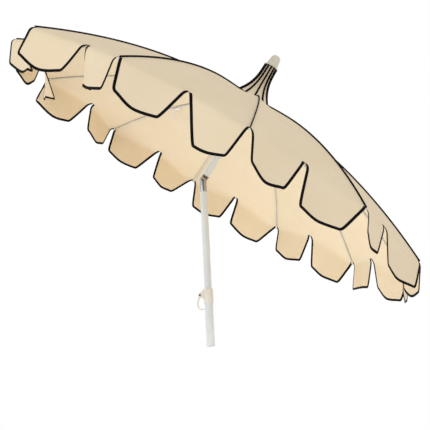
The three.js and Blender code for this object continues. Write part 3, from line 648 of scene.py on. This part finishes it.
PANEL_ROWS = 30                   # down the gore
PANEL_COLUMNS = 56                # across half a gore
PANEL_DROP = 12                   # down a scallop


class PanelPoints:
    """The points of one panel, each kept once under its (side, column, row)."""

    def __init__(self):
        self.points = []
        self.uvs = []
        self.index = {}

    def add(self, key, point, uv):
        self.index[key] = len(self.points)
        self.points.append(CANOPY @ point)
        self.uvs.append(uv)


def gore_column(cloth, petal, c):
    """Points down one column of a half gore; column 0 is the rib, which both sides share."""
    side, share = petal.side, c / PANEL_COLUMNS
    for i in range(PANEL_ROWS + 1):
        key = (side if c else 0, c, i)
        if key in cloth.index:
            continue
        f = (i / PANEL_ROWS) ** 0.9
        r = CLOTH_START + (hem_radius(share) - CLOTH_START) * f
        uv = (side * 0.5 * share * r * 0.52, r)
        cloth.add(key, gore_point(petal.rib, side, share, r), uv)


def scallop_column(cloth, petal, c, edge):
    """Points from the hem down to a point on the scallop's edge, on the same column."""
    side, share = petal.side, c / PANEL_COLUMNS
    for j in range(1, PANEL_DROP + 1):
        key = (side if c else 0, c, PANEL_ROWS + j)
        f = j / PANEL_DROP
        s = share * HALF_GORE * (1 - f) + edge[0] * f
        d = edge[1] * f
        if c == 0:
            cloth.index[key] = cloth.index[(0, 0, PANEL_ROWS)]
        elif d < 1e-6:
            cloth.index[key] = cloth.index[(side, c, PANEL_ROWS)]
        else:
            cloth.add(key, petal.at(s, d), (side * s, hem_radius(share) + d))


def panel_faces(index, side):
    """Quads between the columns, or triangles where two corners are one point."""
    faces = []
    for c in range(PANEL_COLUMNS):
        for i in range(PANEL_ROWS + PANEL_DROP):
            quad = [index[(side if c else 0, c, i)], index[(side if c else 0, c, i + 1)],
                    index[(side, c + 1, i + 1)], index[(side, c + 1, i)]]
            if side < 0:
                quad.reverse()
            clean = [v for n, v in enumerate(quad) if v != quad[n - 1]]
            if len(set(clean)) >= 3:
                faces.append(clean)
    return faces


def cloth_panel(k):
    """The cloth on one rib: half a gore and one scallop on each side, as one sheet."""
    cloth, faces = PanelPoints(), []
    petals = {side: Petal(k, side) for side in (-1, 1)}
    for side, petal in petals.items():
        outline = petal.outline(PANEL_COLUMNS)
        for c in range(PANEL_COLUMNS + 1):
            gore_column(cloth, petal, c)
            scallop_column(cloth, petal, c, outline[c])
        faces += panel_faces(cloth.index, side)
    obj = mesh_object(numbered("cloth_panel", k), cloth.points, faces, cloth.uvs)
    thicken(obj, CLOTH)
    body = numbered("rib", k)
    finish(obj, obj.name, body, FINISH["canvas"],
           stands_for=[numbered("canopy_panel", k)], smooth=60)
    return obj, petals


def ribbon(name, centres, widths, ups, width, height):
    """A soft tape along a line: a rounded flat section with closed ends.

    centres are its middle points, widths and ups the directions of its section."""
    section = []
    for i in range(10):
        angle = 2 * math.pi * i / 10
        x = math.copysign(abs(math.cos(angle)) ** 0.6, math.cos(angle))
        y = math.copysign(abs(math.sin(angle)) ** 0.8, math.sin(angle))
        section.append((x * width / 2, y * height / 2))
    points, uvs, faces = [], [], []
    length = 0.0
    for n, (centre, across, up) in enumerate(zip(centres, widths, ups)):
        if n:
            length += (centre - centres[n - 1]).length
        for x, y in section:
            points.append(CANOPY @ (centre + across * x + up * y))
            uvs.append((length, x))
    count = len(section)
    for n in range(len(centres) - 1):
        for i in range(count):
            a, b = n * count + i, n * count + (i + 1) % count
            faces.append([a, b, b + count, a + count])
    faces.append(list(range(count)))
    faces.append([len(points) - 1 - i for i in range(count)])
    obj = mesh_object(name, points, faces, uvs)
    make_active(obj)
    bpy.ops.object.mode_set(mode="EDIT")
    bpy.ops.mesh.select_all(action="SELECT")
    bpy.ops.mesh.normals_make_consistent(inside=False)
    bpy.ops.object.mode_set(mode="OBJECT")
    return obj


def edge_binding(k, side, petal):
    """The black tape folded over one scallop's edge."""
    outline = petal.outline(90)
    centres, widths, ups = [], [], []
    inset = BINDING / 2 - BINDING_OVERHANG
    for n, (s, d) in enumerate(outline):
        s0, d0 = outline[max(0, n - 1)]
        s1, d1 = outline[min(len(outline) - 1, n + 1)]
        run = Vector((s1 - s0, d1 - d0, 0)).normalized()
        inside = Vector((run.y, -run.x, 0))
        edge = petal.at(s, d)
        inner = petal.at(s + inside.x * 0.004, d + inside.y * 0.004)
        along = petal.at(s + run.x * 0.002, d + run.y * 0.002) - edge
        across = (inner - edge).normalized()
        if across.length < 0.5:
            across = Vector((0, 0, 1))
        up = across.cross(along).normalized()
        centres.append(edge + across * inset)
        widths.append(across)
        ups.append(up)
    name = f"edge_binding_{k + 1:02d}_{'right' if side > 0 else 'left'}"
    obj = ribbon(name, centres, widths, ups, BINDING, BINDING_THICK)
    return finish(obj, name, numbered("rib", k), FINISH["binding"], smooth=60)


def rib_piping(k):
    """The black piped seam that runs down the outside of a rib to its tip."""
    centres, widths, ups = [], [], []
    across = Vector((-math.sin(azimuth(k)), math.cos(azimuth(k)), 0))
    steps = 48
    for i in range(steps + 1):
        r = NECK_BASE - 0.002 + (RIM_RADIUS + 0.003 - NECK_BASE) * i / steps
        point = gore_point(k, 1, 0.0, r)
        ahead = gore_point(k, 1, 0.0, r + 0.002) - point
        up = ahead.cross(across).normalized()
        up = up if up.z > 0 else -up
        centres.append(point + up * (PIPING_HEIGHT / 2 - PIPING_SINK))
        widths.append(across)
        ups.append(up)
    name = numbered("rib_piping", k)
    obj = ribbon(name, centres, widths, ups, PIPING, PIPING_HEIGHT)
    return finish(obj, name, numbered("rib", k), FINISH["binding"], smooth=60)


def squash_with_fold(obj):
    """Gives a cloth or trim piece its own copy of its mesh."""
    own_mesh(obj)


def canopy_cloth():
    for k in range(RIB_COUNT):
        cloth, petals = cloth_panel(k)
        length, area = panel_pattern(petals)
        trims = [edge_binding(k, side, petals[side]) for side in (-1, 1)]
        trims.append(rib_piping(k))
        for obj in (cloth, *trims):
            squash_with_fold(obj)


# ---- neck and finial -----------------------------------------------------------------------

NECK_BASE = 0.080
NECK_TOP = 0.0235
NECK_HEIGHT = 0.158
NECK_LOW = RIM_Z + dome_height(NECK_BASE) + 0.0012


def neck_radius(share):
    return NECK_TOP + (NECK_BASE - NECK_TOP) * (1 - share) ** 2.7


def neck_point(angle, share, lift=0.0):
    """The gathered cloth: a flare whose pleats deepen towards the top."""
    pleat = math.cos(RIB_COUNT * (angle - azimuth(0)))
    depth = 0.0025 * math.sin(math.pi * min(1.0, share * 1.15)) + 0.0022 * share
    r = neck_radius(share) + depth * (pleat * 0.5 - 0.5) + lift
    z = NECK_LOW + NECK_HEIGHT * share
    return Vector((math.cos(angle) * r, math.sin(angle) * r, z))


def neck_pattern():
    """Flat width, length and area of the neck: twelve tapered strips, sewn side to side."""
    steps = 100
    length, area = 0.0, 0.0
    for i in range(steps):
        low, high = neck_radius(i / steps), neck_radius((i + 1) / steps)
        slope = math.hypot(low - high, NECK_HEIGHT / steps)
        length += slope
        area += math.pi * (low + high) * slope
    return 2 * math.pi * NECK_BASE, length, area


def neck_cloth():
    rows, columns = 36, RIB_COUNT * 10
    points, uvs, faces = [], [], []
    for i in range(rows + 1):
        for c in range(columns):
            angle = 2 * math.pi * c / columns
            share = i / rows
            points.append(CANOPY @ neck_point(angle, share))
            uvs.append((angle * neck_radius(share), share * NECK_HEIGHT))
    for i in range(rows):
        for c in range(columns):
            a, b = i * columns + c, i * columns + (c + 1) % columns
            faces.append([a, b, b + columns, a + columns])
    obj = mesh_object("neck_cloth", points, faces, uvs)
    thicken(obj, CLOTH)
    finish(obj, "neck_cloth", "upper_pole", FINISH["canvas"],
           stands_for=["neck_sleeve"], smooth=60)
    pipes = [neck_piping(k) for k in range(RIB_COUNT)]
    width, length, area = neck_pattern()


def neck_piping(k):
    centres, widths, ups = [], [], []
    angle = azimuth(k)
    across = Vector((-math.sin(angle), math.cos(angle), 0))
    steps = 26
    for i in range(steps + 1):
        share = i / steps
        point = neck_point(angle, share)
        ahead = neck_point(angle, min(1.0, share + 0.01)) - neck_point(angle, share - 0.01)
        up = ahead.cross(across).normalized()
        up = up if up.dot(Vector((math.cos(angle), math.sin(angle), 0.2))) > 0 else -up
        centres.append(point + up * (PIPING_HEIGHT / 2 - PIPING_SINK))
        widths.append(across)
        ups.append(up)
    name = numbered("neck_piping", k)
    obj = ribbon(name, centres, widths, ups, NECK_PIPING, PIPING_HEIGHT)
    return finish(obj, name, "upper_pole", FINISH["binding"], smooth=60)


def finial_cap():
    """Milky cap: a thin flange over the gathered cloth and a tapered dome."""
    low = NECK_LOW + NECK_HEIGHT + 0.0006
    outside = [(0.0180, 0.0), (0.0290, 0.0), (0.0300, 0.0010), (0.0300, 0.0024),
               (0.0290, 0.0034), (0.0256, 0.0040), (0.0243, 0.0056), (0.0226, 0.0180),
               (0.0206, 0.0320), (0.0188, 0.0420), (0.0160, 0.0480), (0.0110, 0.0515),
               (0.0050, 0.0525), (0.0, 0.0525)]
    inside = [(0.0, 0.0500), (0.0100, 0.0480), (0.0150, 0.0430), (0.0175, 0.0300),
              (0.0180, 0.0)]
    obj = turned([(r, low + z) for r, z in outside + inside])
    finish(obj, "cap_shell", "upper_pole", FINISH["cap_plastic"],
           stands_for=["finial_cap"], place=CANOPY, smooth=40)


# ---- poles, tilt joint and height lock -------------------------------------------------------

def poles():
    low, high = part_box("lower_tube")
    obj = tube(TUBE_RADIUS - TUBE_WALL, TUBE_RADIUS, low.z, high.z)
    finish(obj, "lower_tube_skin", "lower_pole", FINISH["white_steel"],
           stands_for=["lower_tube"])
    low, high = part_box("inner_pole")
    obj = tube(POLE_RADIUS - TUBE_WALL, POLE_RADIUS, low.z, high.z)
    finish(obj, "inner_pole_skin", "inner_pole", FINISH["white_steel"],
           stands_for=["inner_pole"])
    obj = tube(POLE_RADIUS - TUBE_WALL, POLE_RADIUS, 0.022, NECK_LOW + NECK_HEIGHT - 0.010)
    finish(obj, "upper_pole_skin", "upper_pole", FINISH["white_steel"],
           stands_for=["upper_pole"], place=CANOPY)


def plate(points, low, high):
    """An outline of (x, z) points extruded along Y."""
    deselect_all()
    bpy.ops.mesh.primitive_circle_add(vertices=len(points), fill_type="NGON")
    obj = bpy.context.object
    for vertex, (x, z) in zip(obj.data.vertices, points):
        vertex.co = (x, low, z)
    bpy.ops.object.mode_set(mode="EDIT")
    bpy.ops.mesh.select_all(action="SELECT")
    bpy.ops.mesh.extrude_region_move(TRANSFORM_OT_translate={"value": (0, high - low, 0)})
    bpy.ops.mesh.select_all(action="SELECT")
    bpy.ops.mesh.normals_make_consistent(inside=False)
    bpy.ops.object.mode_set(mode="OBJECT")
    return obj


BOLT_HOLE = 0.0033
TONGUE_HALF = 0.0056


def tilt_joint():
    """Chromed fork with a domed end, the flat tongue between its ears, and the bolt."""
    z = HINGE.z
    fork = turned([(0.0, z - 0.095), (0.0124, z - 0.095), (0.0124, z - 0.0452),
                   (0.0134, z - 0.0452), (0.0140, z - 0.0445), (0.0140, z + 0.0030),
                   (0.0132, z + 0.0085), (0.0110, z + 0.0130), (0.0075, z + 0.0156),
                   (0.0035, z + 0.0166), (0.0, z + 0.0168)], steps=72)
    carve(fork, brick((-0.02, -0.006, z - 0.020), (0.02, 0.006, z + 0.02)))
    carve(fork, rod_along_y(BOLT_HOLE, -0.02, 0.02, 0.0, z))
    # A groove down the fork's front face, for a dark steel strip that stands in for a dark reflection on the
    # chrome: a painted reflection.
    carve(fork, brick((0.0012, -0.02, z - 0.043), (0.0036, -0.0118, z + 0.004)))
    bevel(fork, 0.0004, segments=2)
    finish(fork, "chrome_fork", "inner_pole", FINISH["chrome_steel"],
           stands_for=["tilt_fork"])
    # The dark strip in that groove is a painted reflection of a dark stripe on the chrome, not a real seam.
    painted_reflection_strip = brick((0.0014, -0.0128, z - 0.0428), (0.0034, -0.0120, z + 0.0035))
    bevel(painted_reflection_strip, 0.0002, segments=1)
    finish(painted_reflection_strip, "fork_painted_reflection_strip", "inner_pole", FINISH["dark_steel"])
    bolt = rod_along_y(0.003, -0.0150, 0.0150, 0.0, z)
    heads = [rod_along_y(0.0046, -0.0163, -0.0143, 0.0, z),
             rod_along_y(0.0046, 0.0143, 0.0163, 0.0, z)]
    weld(bolt, *heads)
    carve(bolt, brick((-0.006, -0.018, z - 0.0006), (0.006, -0.0156, z + 0.0006)))
    bevel(bolt, 0.0005, segments=2)
    finish(bolt, "hinge_bolt", "inner_pole", FINISH["dark_steel"],
           stands_for=["tilt_bolt"])
    tongue = rod_along_y(0.0120, -TONGUE_HALF, TONGUE_HALF, 0.0, 0.0, vertices=48)
    strap = brick((-0.0110, -TONGUE_HALF, 0.0), (0.0110, TONGUE_HALF, 0.0400))
    shoulder = turned([(0.0, 0.0185), (0.0134, 0.0185), (0.0140, 0.0191), (0.0140, 0.0213),
                       (0.0124, 0.0216), (0.0124, 0.0700), (0.0, 0.0700)])
    weld(tongue, strap, shoulder)
    carve(tongue, rod_along_y(BOLT_HOLE, -0.02, 0.02, 0.0, 0.0))
    bevel(tongue, 0.0004, segments=2)
    finish(tongue, "hinge_tongue", "upper_pole", FINISH["worn_zinc"],
           stands_for=["tilt_tongue"], place=CANOPY)


def detent_spring():
    """Coil spring under the tilt plunger."""
    low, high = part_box("tilt_spring")
    wire, turns = 0.0005, 8
    pitch = (high.z - low.z - 2 * wire) / turns
    deselect_all()
    bpy.ops.mesh.primitive_circle_add(vertices=10, radius=wire, rotation=(math.pi / 2, 0, 0),
                                      location=(0.0034, 0, low.z + wire))
    obj = bpy.context.object
    bpy.ops.object.transform_apply(location=True, rotation=True, scale=True)
    coil = obj.modifiers.new("coil", "SCREW")
    coil.angle = 2 * math.pi
    coil.screw_offset = pitch
    coil.iterations = turns
    coil.steps = coil.render_steps = 20
    apply_modifiers(obj)
    bpy.ops.object.mode_set(mode="EDIT")
    bpy.ops.mesh.select_all(action="SELECT")
    bpy.ops.mesh.fill_holes(sides=0)
    bpy.ops.mesh.select_all(action="SELECT")
    bpy.ops.mesh.normals_make_consistent(inside=False)
    bpy.ops.object.mode_set(mode="OBJECT")
    finish(obj, "detent_spring", "inner_pole", FINISH["zinc_wire"],
           stands_for=["tilt_spring"])
    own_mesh(obj)


LOCK_X = -0.032                   # the lever's pin, which runs along Y
LOCK_Z = 0.195
LEVER_HALF = 0.006
PIN_HOLE = 0.0028
LOCK_BORE = 0.0144                # round the inner pole
LOCK_SEAT = 0.0163                # round the lower tube
SEAT_TOP = 0.1803


def height_lock():
    """Moulded collar with two ears, and the finger loop that hangs from their pin."""
    collar = turned([(LOCK_SEAT, 0.1630), (0.0180, 0.1630), (0.0186, 0.1636),
                     (0.0186, 0.2160), (0.0182, 0.2174), (0.0172, 0.2186),
                     (0.0158, 0.2190), (LOCK_BORE, 0.2190), (LOCK_BORE, SEAT_TOP),
                     (LOCK_SEAT, SEAT_TOP), (LOCK_SEAT, 0.1630)], steps=72)
    outline = [(-0.0150, 0.1740), (-0.0290, 0.1875), (-0.0345, 0.1885), (-0.0362, 0.1920),
               (-0.0362, 0.1985), (-0.0350, 0.2010), (-0.0200, 0.2150), (-0.0150, 0.2170)]
    ears = [plate(outline, low, low + 0.004) for low in (-0.0105, 0.0065)]
    weld(collar, *ears)
    carve(collar, brick((-0.0330, -0.0065, 0.1790), (-0.0110, 0.0065, 0.2070)))
    carve(collar, rod_along_y(PIN_HOLE, -0.02, 0.02, LOCK_X, LOCK_Z))
    bore = turned([(0.0, 0.1700), (LOCK_BORE, 0.1700), (LOCK_BORE, 0.2250), (0.0, 0.2250)])
    carve(collar, bore)
    seat = turned([(0.0, 0.1600), (LOCK_SEAT, 0.1600), (LOCK_SEAT, SEAT_TOP),
                   (0.0, SEAT_TOP)])
    carve(collar, seat)
    bevel(collar, 0.0006, segments=3)
    finish(collar, "lock_collar", "lower_pole", FINISH["white_plastic"],
           stands_for=["height_collar"])
    strip = finger_loop()
    hub = rod_along_y(0.0070, -LEVER_HALF, LEVER_HALF, LOCK_X, LOCK_Z, vertices=48)
    nose = brick((LOCK_X, -0.005, LOCK_Z - 0.0035), (-0.0200, 0.005, LOCK_Z + 0.0035))
    weld(strip, hub, nose)
    carve(strip, rod_along_y(PIN_HOLE, -0.02, 0.02, LOCK_X, LOCK_Z))
    carve(strip, rod_along_y(0.0075, LEVER_HALF - 0.0033, 0.02, LOCK_X, LOCK_Z))
    bevel(strip, 0.0008, segments=3)
    finish(strip, "finger_loop", "lock_lever", FINISH["white_plastic"],
           stands_for=["lock_lever"])


def finger_loop():
    """A J-shaped strip: down from the pin, round, and in to just short of the tube."""
    line = smooth_line([(-0.0330, 0.1920), (-0.0375, 0.1830), (-0.0412, 0.1700),
                        (-0.0418, 0.1580), (-0.0385, 0.1470), (-0.0300, 0.1412),
                        (-0.0200, 0.1402)], 28)
    half = 0.0026
    left, right = [], []
    for n, (x, z) in enumerate(line):
        x0, z0 = line[max(0, n - 1)]
        x1, z1 = line[min(len(line) - 1, n + 1)]
        run = Vector((x1 - x0, z1 - z0)).normalized()
        left.append((x - run.y * half, z + run.x * half))
        right.append((x + run.y * half, z - run.x * half))
    return plate(left + right[::-1], -LEVER_HALF, LEVER_HALF)


def notched_hub(name, z, skirt, pivot, arm, node_name, body):
    """A moulded hub on the pole: a flange with a slot for each arm on its wire ring.

    pivot is the ring's radius, and arm is half the width of a slot."""
    bore, hub, rim = POLE_RADIUS + 0.0005, 0.0200, pivot + 0.005
    obj = turned([(bore, z - skirt), (hub - 0.0015, z - skirt), (hub, z - skirt + 0.0015),
                  (hub, z - 0.0062), (hub + 0.0012, z - 0.0050), (rim - 0.0010, z - 0.0050),
                  (rim, z - 0.0040), (rim, z + 0.0040), (rim - 0.0010, z + 0.0050),
                  (hub + 0.0012, z + 0.0050), (hub, z + 0.0062), (hub, z + 0.0110),
                  (hub - 0.0010, z + 0.0120), (bore, z + 0.0120), (bore, z - skirt)], steps=72)
    tools = []
    for k in range(RIB_COUNT):
        tool = brick((pivot - 0.0042, -arm, z - 0.006), (rim + 0.002, arm, z + 0.006))
        tool.data.transform(Matrix.Rotation(azimuth(k), 4, "Z"))
        tools.append(tool)
    deselect_all()
    for tool in tools:
        tool.select_set(True)
    bpy.context.view_layer.objects.active = tools[0]
    bpy.ops.object.join()
    carve(obj, bpy.context.object)
    deselect_all()
    bpy.ops.mesh.primitive_torus_add(major_radius=pivot, minor_radius=0.0014,
                                     major_segments=96, minor_segments=10, location=(0, 0, z))
    carve(obj, bpy.context.object)
    bevel(obj, 0.0004, segments=2)
    finish(obj, name, body, FINISH["white_plastic"], stands_for=[node_name],
           place=CANOPY)


def rib_tips():
    """White moulded ends that pocket each rib tip and show at the corner of the hem."""
    slope = math.atan2(dome_height(0.88) - dome_height(RIM_RADIUS), 0.02)
    for k in range(RIB_COUNT):
        tip = brick((-0.0110, -0.0046, -0.0030), (0.0075, 0.0046, 0.0030))
        bevel(tip, 0.0022, segments=4)
        place = (Matrix.Rotation(azimuth(k), 4, "Z")
                 @ Matrix.Translation((RIM_RADIUS + 0.002, 0, RIM_Z - 0.0046))
                 @ Matrix.Rotation(slope, 4, "Y"))
        finish(tip, numbered("rib_tip", k), numbered("rib", k), FINISH["white_plastic"],
               place=CANOPY @ place)


def tie_tab():
    """A white woven tie sewn beside a rib, its free end hanging straight down."""
    k, r = 4, 0.475
    sewn, free = 0.034, 0.046
    start = gore_point(k, -1, 0.05, r) - Vector((0, 0, 0.010))
    outward = Vector((math.cos(azimuth(k)), math.sin(azimuth(k)), 0))
    down = TURN.inverted() @ Vector((0, 0, -1))
    line = [start + outward * sewn * (i / 6) - Vector((0, 0, 0.34 * sewn * i / 6))
            for i in range(7)]
    line += [line[-1] + down * free * (i / 8) for i in range(1, 9)]
    across = Vector((-math.sin(azimuth(k)), math.cos(azimuth(k)), 0))
    points, uvs, faces = [], [], []
    width = 0.0105
    for n, point in enumerate(line):
        run = (line[min(n + 1, len(line) - 1)] - line[max(n - 1, 0)]).normalized()
        flat = across if n < 6 else outward.lerp(across, 0.2).normalized()
        flat = (flat - run * flat.dot(run)).normalized()
        for share in (-0.5, 0.0, 0.5):
            points.append(CANOPY @ (point + flat * width * share))
            uvs.append((share * width, n * 0.006))
    for n in range(len(line) - 1):
        for c in range(2):
            a = n * 3 + c
            faces.append([a, a + 1, a + 4, a + 3])
    obj = mesh_object("tie_tab", points, faces, uvs)
    thicken(obj, 0.0008)
    finish(obj, "tie_tab", numbered("rib", k), FINISH["white_tape"], smooth=60)


def cad_finishes():
    """Each kept node takes the finish of its slot."""
    slots = {part["node"]: part["material_slot"] for part in frame["record"]["subparts"]}
    for name, obj in frame["nodes"].items():
        obj.data.materials.clear()
        obj.data.materials.append(FINISH[slots[name]])


# ---- studio and camera ------------------------------------------------------------------------

def studio():
    """A pale floor, a white sky that dims towards the top, and two soft lamps."""
    deselect_all()
    bpy.ops.mesh.primitive_plane_add(size=14, location=(0, 2, -1.2))
    floor = bpy.context.object
    floor.name = "studio_floor"
    floor.data.materials.append(studio_paper())
    world = bpy.data.worlds.new("studio_world")
    world.use_nodes = True
    bpy.context.scene.world = world
    tree = world.node_tree
    sky = tree.nodes["Background"]
    sky.inputs["Color"].default_value = (1.0, 1.0, 1.0, 1.0)
    direction = node(tree, "ShaderNodeTexCoord").outputs["Generated"]
    height = node(tree, "ShaderNodeSeparateXYZ", Vector=direction).outputs["Z"]
    ceiling = node(tree, "ShaderNodeMapRange",
                   {"From Min": 0.44, "From Max": 1.0, "To Min": 1.0, "To Max": 0.62},
                   Value=height)
    tree.links.new(ceiling.outputs["Result"], sky.inputs["Strength"])
    bpy.context.scene.view_settings.view_transform = "Standard"
    soft_light("floor_bounce", (0.0, 0.35, -1.15), (0.0, 0.35, 0.9), power=15, size=2.2)
    soft_light("side_light", (-3.0, -3.5, 0.2), HINGE, power=22, size=2.6)


def soft_light(name, place, aim, power, size):
    """A square lamp, in watts and metres, that the camera doesn't see."""
    lamp = bpy.data.lights.new(name, "AREA")
    lamp.energy = power
    lamp.size = size
    obj = bpy.data.objects.new(name, lamp)
    obj.visible_camera = False
    obj.location = place
    obj.rotation_euler = (Vector(aim) - Vector(place)).to_track_quat("-Z", "Y").to_euler()
    bpy.context.scene.collection.objects.link(obj)


VIEW_PLACE = (0.40499, -3.59803, -0.83586)     # from the tilt hinge
VIEW_AHEAD = (-0.09898, 0.97698, 0.189)
VIEW_RIGHT = (0.99275, 0.10996, -0.04848)
VIEW_LENS = 79.17


def camera():
    """Stands low in front of the parasol, a little towards its low side, looking up."""
    forward = Vector(VIEW_AHEAD).normalized()
    right = Vector(VIEW_RIGHT)
    right = (right - forward * right.dot(forward)).normalized()
    up = right.cross(forward)
    data = bpy.data.cameras.new("view")
    data.lens = VIEW_LENS
    data.sensor_width = 36
    obj = bpy.data.objects.new("view", data)
    place = Matrix((right, up, -forward)).transposed().to_4x4()
    place.translation = HINGE + Vector(VIEW_PLACE)
    obj.matrix_world = place
    bpy.context.scene.collection.objects.link(obj)
    bpy.context.scene.camera = obj


camera()
studio()
cad_finishes()
poles()
tilt_joint()
detent_spring()
height_lock()
notched_hub("crown_hub", CROWN_Z, skirt=0.012, pivot=0.028, arm=0.0026,
            node_name="crown", body="upper_pole")
notched_hub("runner_hub", RUNNER_Z, skirt=0.030, pivot=0.024, arm=0.0023,
            node_name="runner", body="runner")
canopy_cloth()
rib_tips()
tie_tab()
neck_cloth()
finial_cap()
